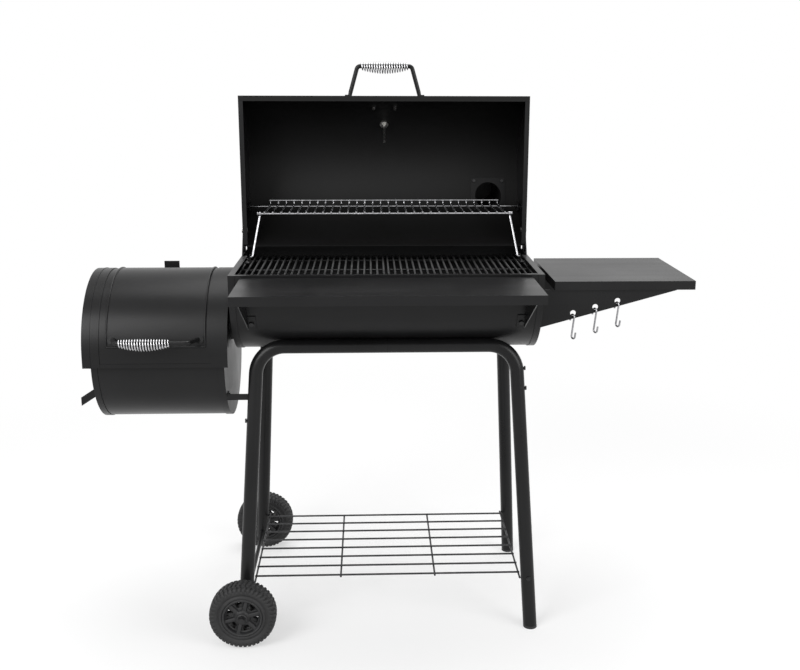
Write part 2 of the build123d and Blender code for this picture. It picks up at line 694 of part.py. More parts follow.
def make_chimney():
    """Pipe with a saddle, the plate inside the lid and the swivelling cap."""
    top = LID_RIM + CHIMNEY_BASE + CHIMNEY_LENGTH
    bore, outer = CHIMNEY_BORE, CHIMNEY_BORE + 2 * SHEET
    axis = (CHIMNEY_X, CHIMNEY_Y)
    pipe = rod((*axis, LID_RIM + 60), (*axis, top), outer)
    half = CHIMNEY_SADDLE / 2
    square = box(CHIMNEY_X - half, CHIMNEY_X + half, CHIMNEY_Y - half, CHIMNEY_Y + half, LID_RIM + 60, top)
    saddle = lid_ring(LID_RADIUS + 2.0, LID_RADIUS - 1, LID_HALF) & square
    pipe = pipe + saddle - slab(disc(LID_RADIUS, LID_Y, LID_RIM), -LID_HALF, LID_HALF)
    pipe -= rod((*axis, LID_RIM), (*axis, top + 1), bore)
    pin_y = CHIMNEY_Y - outer / 2 - 8
    pipe += box(CHIMNEY_X - 7, CHIMNEY_X + 7, pin_y - 7, CHIMNEY_Y - bore / 2 - 0.5, top - 16, top)
    pipe += rod((CHIMNEY_X, pin_y, top), (CHIMNEY_X, pin_y, top + 8), 6.0)
    pipe += rod((CHIMNEY_X, pin_y, top + GAP + 2.0 + GAP), (CHIMNEY_X, pin_y, top + 8), 11.0)
    for x, y in chimney_bolts():
        pipe -= bolt_hole(*chimney_bolt(x, y), shank=SMALL_BOLT)
    parts["chimney_pipe"] = swing(pipe)

    half = CHIMNEY_PLATE / 2
    inner = LID_RADIUS - SHEET
    square = box(CHIMNEY_X - half, CHIMNEY_X + half, CHIMNEY_Y - half, CHIMNEY_Y + half, LID_RIM + 60, top)
    plate = (lid_ring(inner, inner - 2.0, LID_HALF) & square) - rod((*axis, LID_RIM), (*axis, top), bore)
    for x, y in chimney_bolts():
        plate -= bolt_hole(*chimney_bolt(x, y), shank=SMALL_BOLT)
    parts["chimney_plate"] = swing(plate)

    face = Pos(*axis) * Circle(outer / 2 + 4) + Pos(CHIMNEY_X, pin_y) * Circle(9)
    face += Pos(CHIMNEY_X, pin_y / 2 + CHIMNEY_Y / 2 - outer / 4) * Rectangle(18, 22)
    face += Pos(CHIMNEY_X, CHIMNEY_Y + outer / 2 + 8) * RectangleRounded(20, 26, 5)
    face -= Pos(CHIMNEY_X, pin_y) * Circle(3.0 + FIT)
    parts["chimney_cap"] = swing(extrude(Plane((0, 0, top + GAP)) * face, amount=2.0))


def make_gauge(out):
    """Dial thermometer on the lid wall: case, dial, glass, needle and stem nut."""
    radius = GAUGE_DIAMETER / 2

    def level(lift):
        return Plane(on_lid(0, GAUGE_ANGLE, LID_RADIUS + lift), x_dir=(1, 0, 0), z_dir=out)

    case = extrude(level(3.0) * Circle(radius), amount=15)
    case -= extrude(level(5.0) * Circle(radius - 2), amount=14)
    case += extrude(level(-6.0) * Circle(14), amount=10)
    case -= slab(disc(LID_RADIUS, LID_Y, LID_RIM), -40, 40)
    case += extrude(level(-70.0) * Circle(3.0), amount=74)
    case += extrude(level(-12.0) * Circle(GAUGE_STEM / 2), amount=16)
    case += extrude(level(5.0) * Circle(1.5), amount=5.6)
    parts["gauge_case"] = swing(case)
    dial = extrude(level(5.0) * (Circle(radius - 2.0 - FIT) - Circle(1.5 + FIT)), amount=2.0)
    parts["gauge_dial"] = swing(dial)
    needle = Circle(4.0) + Rot(0, 0, NEEDLE_TURN) * (Pos(0, 9.5) * Rectangle(2.4, 22)) - Circle(1.5 + FIT)
    parts["gauge_needle"] = swing(extrude(level(7.4) * needle, amount=1.4))
    parts["gauge_glass"] = swing(extrude(level(13.0) * Circle(radius - 2.0 - FIT), amount=2.5))


# Warming rack
def hanger(side):
    """Slotted plate on a lid end in which the rack's rear rail slides."""
    inside = LID_HALF - SHEET
    width = RACK_WIRE + 3.8
    slot = Pos(RACK_REAR_Y - 4.56, RACK_Z - 0.84) * Rot(0, 0, 6) * SlotOverall(width + 9.6, width)
    plate = Pos(RACK_REAR_Y - 4.6, RACK_Z) * RectangleRounded(44, 24, 6) - slot
    piece = slab(plate, *sided(side, inside - 8, inside - 6))
    for y in (RACK_REAR_Y - 21.6, RACK_REAR_Y + 12.4):
        piece += drum(4.0, *sided(side, inside - 6.5, inside + 0.5), y, RACK_Z)
    return piece


def make_rack():
    """Rack, its two swinging legs and the feet on which the legs turn."""
    half = RACK_HALF
    end = LID_HALF - SHEET - 3.5
    rails = [rod((-half - 9, RACK_FRONT_Y, RACK_Z), (half + 9, RACK_FRONT_Y, RACK_Z), RACK_WIRE)]
    rails.append(rod((-end, RACK_REAR_Y, RACK_Z), (end, RACK_REAR_Y, RACK_Z), RACK_WIRE))
    wire = RACK_WIRE - 1.0
    span = half - 8
    count = round(2 * span / RACK_PITCH)
    level = RACK_Z + RACK_WIRE / 2 + wire / 2 - 0.8
    back = RACK_REAR_Y + 4
    for i in range(count + 1):
        x = -span + 2 * span * i / count
        path = [(x, RACK_FRONT_Y - 3, level), (x, back, level), (x, back, level + RACK_FENCE)]
        rails.append(bent(path, wire, 6))
    fence = level + RACK_FENCE - 2
    rails.append(rod((-span - 2, back, fence), (span + 2, back, fence), RACK_WIRE))
    for x in (-span, span):
        rails.append(rod((x, RACK_FRONT_Y, RACK_Z), (x, RACK_REAR_Y, RACK_Z), RACK_WIRE))
    for side in (-1, 1):
        rails.append(drum(5.5, *sided(side, half + 6.5, half + 9), RACK_FRONT_Y, RACK_Z))
    parts["warming_rack"] = joined(rails)

    def leg(side):
        x_top, x_low = side * (half + 2.5), side * LEG_FOOT_X
        eye = slab(disc(6.0, RACK_FRONT_Y, RACK_Z), *sided(side, half, half + 5))
        pivot = (side * (LEG_FOOT_X + 7.0), LEG_FOOT_Y, LEG_FOOT_Z)
        corner = (x_low, LEG_FOOT_Y, LEG_FOOT_Z)
        wire = bent([pivot, corner, (x_top, RACK_FRONT_Y, RACK_Z)], RACK_WIRE, 4)
        return wire + eye - drum(RACK_WIRE / 2 + FIT, x_top - 20, x_top + 20, RACK_FRONT_Y, RACK_Z)

    parts["rack_legs"] = Compound(both(leg))

    def foot(side):
        inside = HALF - SHEET
        near = LEG_FOOT_X + 4.6
        x0, x1 = sided(side, near, near + GUSSET_SHEET)
        y0, y1 = LEG_FOOT_Y - 9, LEG_FOOT_Y + 9
        low, high = RACK_FOOT_BOLT_Z - 9, RACK_FOOT_BOLT_Z + 7
        plate = box(x0, x1, y0, y1, high - GUSSET_SHEET, LEG_FOOT_Z + 6)
        plate += box(*sided(side, near, inside), y0, y1, high - GUSSET_SHEET, high)
        plate += box(*sided(side, inside - GUSSET_SHEET, inside), y0, y1, low, high)
        plate -= drum(RACK_WIRE / 2 + FIT, x0 - 1, x1 + 1, LEG_FOOT_Y, LEG_FOOT_Z)
        return plate - bolt_hole(*rack_foot_bolt(side))

    parts["rack_feet"] = Compound(both(foot))


# Leg frames
def leg_point(side, z):
    """Centre of a leg on the right at a height; side is -1 for the front frame."""
    share = (LEG_BAR_Z - z) / LEG_BAR_Z
    return (
        LEG_TOP_X + (LEG_FLOOR_X - LEG_TOP_X) * share,
        side * (LEG_BAR_Y + (LEG_FOOT_SPREAD - LEG_BAR_Y) * share),
        z,
    )


def make_legs():
    """Two bent-tube frames, foot caps, axle, cap nuts and bolts."""
    caps = []
    for side, name in ((-1, "leg_frame_front"), (1, "leg_frame_rear")):
        foot, knee = leg_point(side, -20.0), leg_point(side, LEG_BAR_Z)
        path = FilletPolyline((-foot[0], *foot[1:]), (-knee[0], *knee[1:]), knee, foot, radius=LEG_BEND)
        ring = Circle(TUBE_R) - Circle(TUBE_R - TUBE_WALL)
        tube = sweep(Plane(path @ 0, z_dir=path % 0) * ring, path=path)
        tube -= box(0, HALF + TUBE, -HALF, HALF, -100, CAP_HEIGHT)
        tube -= box(-HALF - TUBE, 0, -HALF, HALF, -100, AXLE_Z - 20)
        axle_x = leg_point(side, AXLE_Z)[0]
        tube -= rod((-axle_x, -HALF, AXLE_Z), (-axle_x, HALF, AXLE_Z), AXLE + SEAT)
        for x, half in BAR_BOLTS:
            if half == side:
                tube -= bolt_hole(*bar_bolt(x, side))
        for place in [*leg_screws(side), shelf_screw(-1, side), shelf_screw(1, side)]:
            tube -= bolt_hole(*place, shank=SMALL_BOLT)
        parts[name] = tube

        low, high = leg_point(side, -20.0), leg_point(side, 30.0)
        cap = rod(low, high, TUBE) & box(0, HALF + TUBE, -HALF, HALF, 0, CAP_HEIGHT)
        plug = rod(low, high, TUBE - 2 * TUBE_WALL - SEAT)
        caps.append(cap + (plug & box(0, HALF + TUBE, -HALF, HALF, CAP_HEIGHT - 1, CAP_HEIGHT + 18)))
    parts["foot_caps"] = Compound(caps)

    x = -leg_point(1, AXLE_Z)[0]
    hub = WHEEL_WIDTH / 2 + WHEEL_HUB_PROUD
    end = WHEEL_MID_Y + hub + GAP
    axle = rod((x, -end, AXLE_Z), (x, end, AXLE_Z), AXLE)
    leg_y = leg_point(1, AXLE_Z)[1] + TUBE_R + 2.0
    for side in (-1, 1):
        axle += rod((x, side * leg_y, AXLE_Z), (x, side * (WHEEL_MID_Y - hub - GAP), AXLE_Z), 18)
    parts["axle"] = axle

    def nut(side):
        start = Plane((x, side * end, AXLE_Z), z_dir=(0, side, 0))
        return extrude(start * RegularPolygon(10, 6), amount=5) + extrude(start * Circle(7), amount=8)

    parts["axle_nuts"] = Compound(both(nut))

    bolts = [bolt(*bar_bolt(bar_x, side), nut=9) for bar_x, side in BAR_BOLTS]
    bolts += [bolt(*bracket_bolt(half, z)) for half in (-1, 1) for z in BRACKET_BOLTS_Z]
    screw = {"head": 10, "nut": 0, "nut_height": 0, "shank": SMALL_BOLT}
    for side in (-1, 1):
        bolts += [bolt(*ear_bolt(side, y, z), head_height=2.5) for y, z in EAR_BOLTS]
        bolts.append(bolt(*rack_foot_bolt(side), head_height=2.5))
        bolts.append(bolt(*gusset_bolt(side), head=11))
        for place in [*leg_screws(side), shelf_screw(-1, side), shelf_screw(1, side)]:
            bolts.append(bolt(*place, **screw))
    parts["frame_bolts"] = Compound(bolts)


def make_wheel(side, name):
    """Tyre with a lugged tread and a six-spoked rim running on the axle."""
    x = -leg_point(1, AXLE_Z)[0]
    face = Plane((x, side * WHEEL_MID_Y, AXLE_Z), x_dir=(1, 0, 0), z_dir=(0, 1, 0))
    half = WHEEL_WIDTH / 2
    tyre = extrude(face * Circle(WHEEL_DIAMETER / 2), amount=half, both=True)
    tyre = chamfer(tyre.edges(), 5)
    tyre -= extrude(face * Circle(WHEEL_RIM / 2), amount=half + 1, both=True)
    parts[f"tyre_{name}"] = tyre

    inner = WHEEL_RIM / 2 - 7
    band = Circle(WHEEL_RIM / 2) - Circle(inner)
    hub = Circle(WHEEL_HUB / 2)
    rim = extrude(face * band, amount=half - 1, both=True)
    spokes = Sketch()
    for i in range(WHEEL_SPOKES):
        turn = 15 + 360 / WHEEL_SPOKES * i
        spoke = Pos((inner + WHEEL_HUB / 2) / 2, 0) * Rectangle(inner - WHEEL_HUB / 2 + 6, 9)
        spokes += Rot(0, 0, turn) * spoke
    rim += extrude(face * spokes, amount=half - 5, both=True)
    rim += extrude(face * hub, amount=half + WHEEL_HUB_PROUD, both=True)
    rim -= extrude(face * Circle(AXLE / 2 + FIT), amount=half + WHEEL_HUB_PROUD + 1, both=True)
    parts[f"rim_{name}"] = rim


# Shelves
def make_low_shelf():
    """Wire shelf between the legs."""
    leg_x, leg_y, _ = leg_point(1, LOW_SHELF_Z)
    wire = LOW_SHELF_WIRE
    end = leg_x - TUBE_R - wire / 2 - SEAT
    half = LOW_SHELF_DEPTH / 2
    level = LOW_SHELF_Z - wire + 0.8
    rods = []
    for i in range(LOW_SHELF_WIRES):
        y = -half + 2 * half * i / (LOW_SHELF_WIRES - 1)
        rods.append(rod((-end - 2, y, LOW_SHELF_Z), (end + 2, y, LOW_SHELF_Z), wire))
    for x in (-LOW_SHELF_CROSS_X, LOW_SHELF_CROSS_X):
        rods.append(rod((x, -half - 2, level), (x, half + 2, level), wire))
    for x in (-end, end):
        rods.append(rod((x, -leg_y - 3, level), (x, leg_y + 3, level), wire))
    parts["low_shelf"] = joined(rods)


def tray(x0, x1, y0, y1, top, depth, lip):
    """Shallow pressed shelf: flat top, turned-down edges and an inward lip."""
    body = box(x0, x1, y0, y1, top - depth, top)
    body -= box(x0 + SHEET, x1 - SHEET, y0 + SHEET, y1 - SHEET, top - depth + SHEET, top - SHEET)
    body -= box(x0 + lip, x1 - lip, y0 + lip, y1 - lip, top - depth - 1, top - depth + SHEET + 1)
    return body


def make_front_shelf():
    """Front shelf and its two gussets."""
    half = FRONT_SHELF_HALF
    near = -BOWL_RADIUS - FRONT_SHELF_GAP
    far = near - FRONT_SHELF_DEPTH
    under = FRONT_SHELF_TOP - FRONT_SHELF_EDGE
    parts["front_shelf"] = tray(-half, half, far, near, FRONT_SHELF_TOP, FRONT_SHELF_EDGE, 10)
    low = GUSSET_LOW_Z
    outline = shape((far + 45, under), (near + 40, under), (near + 60, low), (near + 38, low))
    bowl = disc(BOWL_RADIUS, 0, AXIS_Z)
    skin = disc(BOWL_RADIUS + GUSSET_SHEET, 0, AXIS_Z) - bowl

    def gusset(side):
        web = slab(outline, *sided(side, GUSSET_X - GUSSET_SHEET, GUSSET_X)) - slab(bowl, -HALF, HALF)
        t0, t1 = sided(side, GUSSET_X - 20, GUSSET_X)
        tongue = slab(skin, t0, t1) & box(t0, t1, -BOWL_RADIUS - 5, -60, low, low + 34)
        seat = box(*sided(side, GUSSET_X - 18, GUSSET_X), far + 45, near, under - GUSSET_SHEET, under)
        return web + tongue + seat - bolt_hole(*gusset_bolt(side))

    parts["shelf_gussets"] = Compound(both(gusset))


def bracket_edge(x):
    """Height of the side bracket's slanting lower edge."""
    end_z = SIDE_SHELF_TOP - SIDE_SHELF_EDGE - 2
    return BRACKET_LOW_Z + (end_z - BRACKET_LOW_Z) * (x - HALF) / (BRACKET_END_X - HALF)


def hook_place(index):
    """Hole of a hook in the front bracket: x, z."""
    x = HOOK_FIRST_X + HOOK_PITCH * index
    return x, bracket_edge(x) + HOOK_HOLE


def make_side_shelf():
    """Side shelf, its two tapering brackets and the three hooks."""
    half = SIDE_SHELF_DEPTH / 2
    right = SIDE_SHELF_X + SIDE_SHELF_WIDTH
    under = SIDE_SHELF_TOP - SIDE_SHELF_EDGE
    low, end = BRACKET_LOW_Z, BRACKET_END_X
    parts["side_shelf"] = tray(SIDE_SHELF_X, right, -half, half, SIDE_SHELF_TOP, SIDE_SHELF_EDGE, 14)
    outline = shape((HALF, under), (end, under), (end, under - 2), (HALF, low))
    for side, name in ((-1, "side_bracket_front"), (1, "side_bracket_rear")):
        plate = panel(outline, *sided(side, BRACKET_WEB_Y, BRACKET_WEB_Y + PLATE))
        foot = sided(side, BRACKET_WEB_Y - 2 * BRACKET_SETBACK, BRACKET_WEB_Y + 1)
        plate += box(HALF, HALF + PLATE, *foot, low + 8, under)
        for z in BRACKET_BOLTS_Z:
            plate -= bolt_hole(*bracket_bolt(side, z))
        if side < 0:
            for index in range(3):
                x, z = hook_place(index)
                plate -= rod((x, -half - 20, z), (x, -half + 40, z), HOOK_HOLE)
        parts[name] = plate

    for index, name in enumerate(("left", "middle", "right")):
        parts[f"hook_{name}"] = make_hook(index)


def hook_pivot(index):
    """Point on which a hook swings: its wire where it crosses the bracket."""
    x, z = hook_place(index)
    return x, -BRACKET_WEB_Y - PLATE / 2, z - HOOK_HOLE / 2 + HOOK_WIRE / 2 + HOOK_SLACK


def make_hook(index):
    """S hook hung through its hole and turned until its weight is plumb."""
    r = HOOK_RADIUS
    low = HOOK_WIRE + r - HOOK_HEIGHT
    tail = 1.5 * r
    path = Line((-2 * r, -r - tail), (-2 * r, -r)) + ThreePointArc((-2 * r, -r), (-r, 0), (0, -r))
    path += Line((0, -r), (0, low)) + ThreePointArc((0, low), (r, low - r), (2 * r, low))
    path += Line((2 * r, low), (2 * r, low + tail))
    wire = Plane((0, 0, 0), x_dir=(0, -1, 0), z_dir=(-1, 0, 0)) * Wire(path.edges())
    body = sweep(Plane(wire @ 0, z_dir=wire % 0) * Circle(HOOK_WIRE / 2), path=wire)
    body = body.translate(Vector(0, -r, 0)).rotate(Axis.Z, HOOK_TURN)
    weight = body.center(CenterOf.MASS)
    body = body.rotate(Axis.Y, math.degrees(math.atan2(weight.X, -weight.Z)))
    return body.translate(Vector(*hook_pivot(index)))


# Firebox
def hood(outer, inner, x0, x1):
    """Upside-down U shell of the firebox lid between two radii."""
    shell = slab(arch(outer, BOX_SKIRT_Z, BOX_LID_Z), x0, x1)
    return shell - slab(arch(inner, BOX_SKIRT_Z - 1, BOX_LID_Z), x0 - 1, x1 + 1)


def vent_holes(x0, x1):
    """Four round vents about the damper's rivet."""
    turns = [math.radians(45 + 90 * i) for i in range(4)]
    centres = [(DAMPER_Y + VENT_REACH * math.cos(a), DAMPER_Z + VENT_REACH * math.sin(a)) for a in turns]
    return [drum(VENT_RADIUS, x0 - 1, x1 + 1, *centre) for centre in centres]


def left_leg_point(z):
    """Centre of the front frame's left leg at a height."""
    x, y, _ = leg_point(-1, z)
    return -x, y, z


def make_firebox():
    """Firebox tub, ends, collar, grate, strap, hinge and bolts."""
    r, rim = BOX_RADIUS, BOX_AXIS_Z
    left, right = BOX_LEFT, BOX_RIGHT
    lower = half_disc(r, 0, rim, -1)
    tub = slab(lower, left + SHEET, right - SHEET) - slab(disc(r - SHEET, 0, rim), left, right)
    for side in (-1, 1):
        tub += box(left + SHEET, right - SHEET, *sided(side, r - 0.5, r + BOX_FLANGE), rim - SHEET, rim)
    parts["firebox_tub"] = tub

    def band(x0, x1):
        ring = slab(half_disc(r + SHEET, 0, rim, -1), x0, x1) - slab(disc(r, 0, rim), x0, x1)
        return ring - box(x0, x1, -2 * r, 2 * r, rim - SHEET - SEAT, rim + 1)

    end = slab(lower, left, left + SHEET) + band(left, left + BOX_END_BAND)
    end += box(left - BOX_FLANGE, left + 0.5, -r - BOX_FLANGE, r + BOX_FLANGE, rim - SHEET, rim)
    for hole in vent_holes(left, left + SHEET):
        end -= hole
    end -= drum(RIVET / 2 + FIT, left - 1, left + SHEET + 1, DAMPER_Y, DAMPER_Z)
    parts["firebox_end_left"] = end

    leg_x, leg_y, _ = left_leg_point(STRAP_Z)
    strap_bolt = ((right + STRAP, leg_y + 16, STRAP_Z), (-1, 0, 0), STRAP + SHEET)
    end = slab(lower + arch(r - BOX_END_INSET, rim, BOX_LID_Z), right - SHEET, right)
    end += band(right - BOX_END_BAND, right)
    end -= drum(PORT_RADIUS, right - SHEET - 1, right + 1, 0, PORT_Z)
    end -= bolt_hole(*strap_bolt)
    collar = slab(disc(COLLAR_RADIUS, 0, PORT_Z) - disc(PORT_RADIUS, 0, PORT_Z), right, -HALF)
    screws = [bolt(*strap_bolt, head=11, nut=9)]
    for radius, angle in COLLAR_BOLTS:
        seat, way, grip = collar_bolt(radius, angle)
        hole = bolt_hole(seat, way, grip)
        end -= hole
        collar -= hole
        screws.append(bolt((seat[0] - SHEET, *seat[1:]), way, grip + SHEET, head=9, nut=9))
    parts["firebox_end_right"] = end
    parts["firebox_collar"] = collar

    rest = math.sqrt((r - SHEET) ** 2 - BOX_GRATE_DROP**2) - 1.0
    top = rim - BOX_GRATE_DROP + GRATE_WIRE
    bars = (-rest + 20, rest - 20)
    parts["firebox_grate"] = grid(left + 12, right - 12, rest, top, GRATE_WIRE, 1.6 * GRATE_PITCH, bars)

    low, high = STRAP_Z - STRAP_HALF, STRAP_Z + STRAP_HALF
    leg = rod(left_leg_point(low - TUBE), left_leg_point(high + TUBE), TUBE)
    strap = box(right, leg_x - 6, leg_y - STRAP / 2, leg_y + STRAP / 2, low, high) - leg
    strap += box(right, right + STRAP, leg_y - STRAP / 2, leg_y + 26, low, high)
    parts["firebox_strap"] = strap - bolt_hole(*strap_bolt)

    disc_left = left - DAMPER_SHEET - 2 * GAP
    rivet = drum(RIVET / 2, disc_left, left + SHEET, DAMPER_Y, DAMPER_Z)
    rivet += drum(RIVET, disc_left - 2.5, disc_left, DAMPER_Y, DAMPER_Z)
    rivet += drum(RIVET - 1, left + SHEET, left + SHEET + 2, DAMPER_Y, DAMPER_Z)
    parts["firebox_bolts"] = Compound([*screws, rivet])

    near, far = BOX_PIN_Y - 4.15, BOX_PIN_Y + 4.25
    seat = rim - SHEET - SEAT
    foot = [(r - 29, seat), (r - 29, rim - 27), (r - 7, rim - 37)]
    outline = shape(*foot, (far, rim - 9), (far, rim + 7), (near, rim + 7), (near, seat))
    tub_body = slab(disc(r, 0, rim), left, right)
    lugs = [slab(outline, x - BOX_LUG, x) - tub_body for x in BOX_LUGS_X]
    pin = drum(BOX_HINGE_PIN / 2, BOX_LUGS_X[0] - 10, BOX_LUGS_X[1] + 10, BOX_PIN_Y, BOX_PIN_Z)
    parts["firebox_hinge"] = joined([pin, *lugs])


def make_damper():
    """Round damper with four vents, and a lever bent outwards."""
    x0, x1 = BOX_LEFT - DAMPER_SHEET - GAP, BOX_LEFT - GAP
    plate = slab(disc(DAMPER_RADIUS, DAMPER_Y, DAMPER_Z), x0, x1)
    for hole in vent_holes(x0, x1):
        plate -= hole
    plate -= drum(RIVET / 2 + FIT, x0 - 1, x1 + 1, DAMPER_Y, DAMPER_Z)
    tip = DAMPER_Y - DAMPER_LEVER
    low, high = DAMPER_Z - DAMPER_TAB_HALF, DAMPER_Z + DAMPER_TAB_HALF
    plate += box(x0, x1, tip, DAMPER_Y - DAMPER_RADIUS + 8, low, high)
    edge = shape((tip, low), (tip + DAMPER_SHEET, low), (tip + DAMPER_SHEET, high), (tip, high))
    plate += extrude(Plane.YZ.offset(x1) * edge, amount=DAMPER_TAB, dir=Vector(-1, 0, -0.65).normalized())
    parts["damper"] = plate


def panel_corners():
    """Corners of the lid's raised panel, seen from the front: x, z."""
    top = BOX_LID_Z + 2 * BOX_LID_RADIUS
    left, right, low = BOX_PANEL_LEFT, BOX_PANEL_RIGHT, BOX_PANEL_LOW
    return [(left, low), (right, low), (right, top), (left, top)]


def panel_beads():
    """Round beads along the panel's left, lower and right edges."""
    r, low = BOX_LID_RADIUS, BOX_PANEL_LOW - BOX_LID_Z
    start, end = (-math.sqrt(r**2 - low**2), low), (BOX_TAB_Y - 10, math.sqrt(r**2 - (BOX_TAB_Y - 10) ** 2))
    half = math.sqrt(r**2 / 2)
    wire = Circle(BOX_PANEL_BEAD / 2)
    y, z = start[0], BOX_PANEL_LOW
    beads = [rod((BOX_PANEL_LEFT, y, z), (BOX_PANEL_RIGHT, y, z), BOX_PANEL_BEAD)]
    for x in (BOX_PANEL_LEFT, BOX_PANEL_RIGHT):
        arc = [(x, y, BOX_LID_Z + z) for y, z in (start, (-half, half), end)]
        path = ThreePointArc(*arc)
        beads.append(sweep(Plane(path @ 0, z_dir=path % 0) * wire, path=path))
        beads.append(Pos(x, y, z) * Sphere(BOX_PANEL_BEAD / 2))
    return beads


def make_firebox_lid():
    """Firebox lid with banded ends, raised panel, handle, coil and top tab."""
    r, rim = BOX_LID_RADIUS, BOX_RIM
    left, right = BOX_LID_LEFT, BOX_LID_RIGHT
    inside = (left + SHEET, right - SHEET)
    wall = hood(r - SHEET, r - 2 * SHEET, *inside)
    hem = r - 2 * SHEET
    for side in (-1, 1):
        wall += box(*inside, *sided(side, hem + 0.5, hem - BOX_LID_HEM), rim, rim + SHEET)
    wall -= box(left, right, BOX_RADIUS, r, BOX_SKIRT_Z - 1, rim)
    fold = (-r + SHEET - BOX_LID_FOLD_PROUD, -r + 2 * SHEET, BOX_SKIRT_Z, BOX_SKIRT_Z + BOX_LID_FOLD)
    wall += box(left + BOX_LID_BAND, right - BOX_LID_BAND, *fold)
    face = shape(*panel_corners())
    wall += hood(r, r - 2 * SHEET + SEAT, *inside) & panel(face, -r - 1, BOX_TAB_Y - 10)
    for bead in panel_beads():
        wall += bead
    ear = disc(4.2, BOX_PIN_Y, BOX_PIN_Z)
    corners = [(-18.75, 3.5), (3.8, 1.5), (2, 8.5), (-7.25, 29.5), (-18.75, 29.5)]
    ear += shape(*[(BOX_PIN_Y + y, BOX_PIN_Z + z) for y, z in corners])
    body = slab(arch(r - SHEET, BOX_SKIRT_Z, BOX_LID_Z), left, right)
    for x in BOX_LUGS_X:
        lug = slab(ear, x + GAP, x + BOX_LUG + GAP) - body
        wall += lug - box(left, right, 0, BOX_PIN_Y - 4.35, BOX_SKIRT_Z - 50, BOX_PIN_Z - SEAT)
    wall -= drum(BOX_HINGE_PIN / 2 + FIT, left, right, BOX_PIN_Y, BOX_PIN_Z)

    x0, x1 = BOX_LID_MIDDLE - BOX_TAB_WIDTH / 2, BOX_LID_MIDDLE + BOX_TAB_WIDTH / 2
    foot_z = BOX_LID_Z + math.sqrt(r**2 - BOX_TAB_Y**2)
    tab = box(x0, x1, BOX_TAB_Y, BOX_TAB_Y + PLATE, foot_z - 40, foot_z + BOX_TAB_HEIGHT)
    leaf = disc(r + 0.5, 0, BOX_LID_Z) - disc(r - SHEET, 0, BOX_LID_Z)
    tab += slab(leaf, x0, x1) & box(x0, x1, BOX_TAB_Y, BOX_TAB_Y + 22, BOX_LID_Z, foot_z + 40)
    parts["firebox_lid"] = wall + (tab - slab(disc(r - SHEET - 0.5, 0, BOX_LID_Z), left, right))

    cap = slab(arch(r, BOX_SKIRT_Z, BOX_LID_Z), left, left + SHEET)
    cap += box(left, left + BOX_LID_HEM, -r + 16, r - 16, rim, rim + SHEET)
    cap += hood(r, r - SHEET, left, left + BOX_LID_BAND)
    bead = left + BOX_LID_BEAD
    parts["firebox_lid_end_left"] = cap + hood(r + 0.8, r - 0.5, bead - 1.5, bead + 1.5)
    ring = hood(r, r - BOX_LID_END_RING, right - SHEET, right)
    parts["firebox_lid_end_right"] = ring + hood(r, r - SHEET, right - BOX_LID_BAND, right)

    y, z = -math.sqrt(r**2 - (BOX_HANDLE_Z - BOX_LID_Z) ** 2), BOX_HANDLE_Z
    x0, x1, lean = BOX_HANDLE_LEFT, BOX_HANDLE_RIGHT, BOX_HANDLE_LEAN
    far = y - BOX_HANDLE_REACH + HANDLE_ROD / 2
    bar = [(x0, y + 12, z), (x0 + lean, far, z + 4), (x1 - lean, far, z + 4), (x1, y + 12, z)]
    handle = bent(bar, HANDLE_ROD, 9)
    for x in (x0, x1):
        handle += rod((x, y + 12, z - 4), (x, y - 2.5, z + 0.5), HANDLE_FOOT)
    handle -= slab(arch(r, BOX_SKIRT_Z, BOX_LID_Z), left, right)
    parts["firebox_lid_handle"] = handle
    middle = x0 + lean + 8 + COIL_LENGTH / 2
    parts["firebox_lid_coil"] = coil((middle, far, z + 4), COIL_LENGTH, (0, -1))


make_bowl()
make_ears()
make_grates()
make_lid()
make_rack()
make_legs()
make_wheel(-1, "front")
make_wheel(1, "rear")
make_low_shelf()
make_front_shelf()
make_side_shelf()
make_firebox()
make_damper()
make_firebox_lid()

# The whole is moved so that its origin is the middle of its floor outline
whole = Compound(list(parts.values())).bounding_box()
SHIFT = Vector(-(whole.min.X + whole.max.X) / 2, -(whole.min.Y + whole.max.Y) / 2, 0)
os.makedirs("parts", exist_ok=True)
for name, piece in parts.items():
    export_step(piece.moved(Location(SHIFT)), f"parts/{name}.step")
print(f"{len(parts)} nodes, moved by {SHIFT.X:.3f}, {SHIFT.Y:.3f}")
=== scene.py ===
"""Looks of the barrel grill with an offset firebox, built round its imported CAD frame."""

import json
import logging
import math
from dataclasses import dataclass, field, replace
from enum import Enum

import bpy
import numpy as np
from mathutils import Matrix, Vector


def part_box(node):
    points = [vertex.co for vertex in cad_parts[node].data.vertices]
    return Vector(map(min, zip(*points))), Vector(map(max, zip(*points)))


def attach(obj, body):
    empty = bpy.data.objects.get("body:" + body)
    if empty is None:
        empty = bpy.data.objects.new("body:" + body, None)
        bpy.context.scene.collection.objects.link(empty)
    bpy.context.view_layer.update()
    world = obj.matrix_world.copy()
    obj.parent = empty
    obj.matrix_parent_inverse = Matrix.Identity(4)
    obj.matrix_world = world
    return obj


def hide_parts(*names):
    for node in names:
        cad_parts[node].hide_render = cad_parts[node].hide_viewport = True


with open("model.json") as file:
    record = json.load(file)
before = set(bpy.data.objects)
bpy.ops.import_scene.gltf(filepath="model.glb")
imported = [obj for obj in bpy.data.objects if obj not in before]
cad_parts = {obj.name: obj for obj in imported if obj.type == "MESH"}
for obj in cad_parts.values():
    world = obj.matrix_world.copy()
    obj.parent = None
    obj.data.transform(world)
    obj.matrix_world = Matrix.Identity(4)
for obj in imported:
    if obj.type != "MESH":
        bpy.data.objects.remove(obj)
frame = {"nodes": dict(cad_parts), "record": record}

MM = 0.001
LOG = logging.getLogger("grill")

Triple = tuple[float, float, float]
Colour = Triple
Span = tuple[float, float]


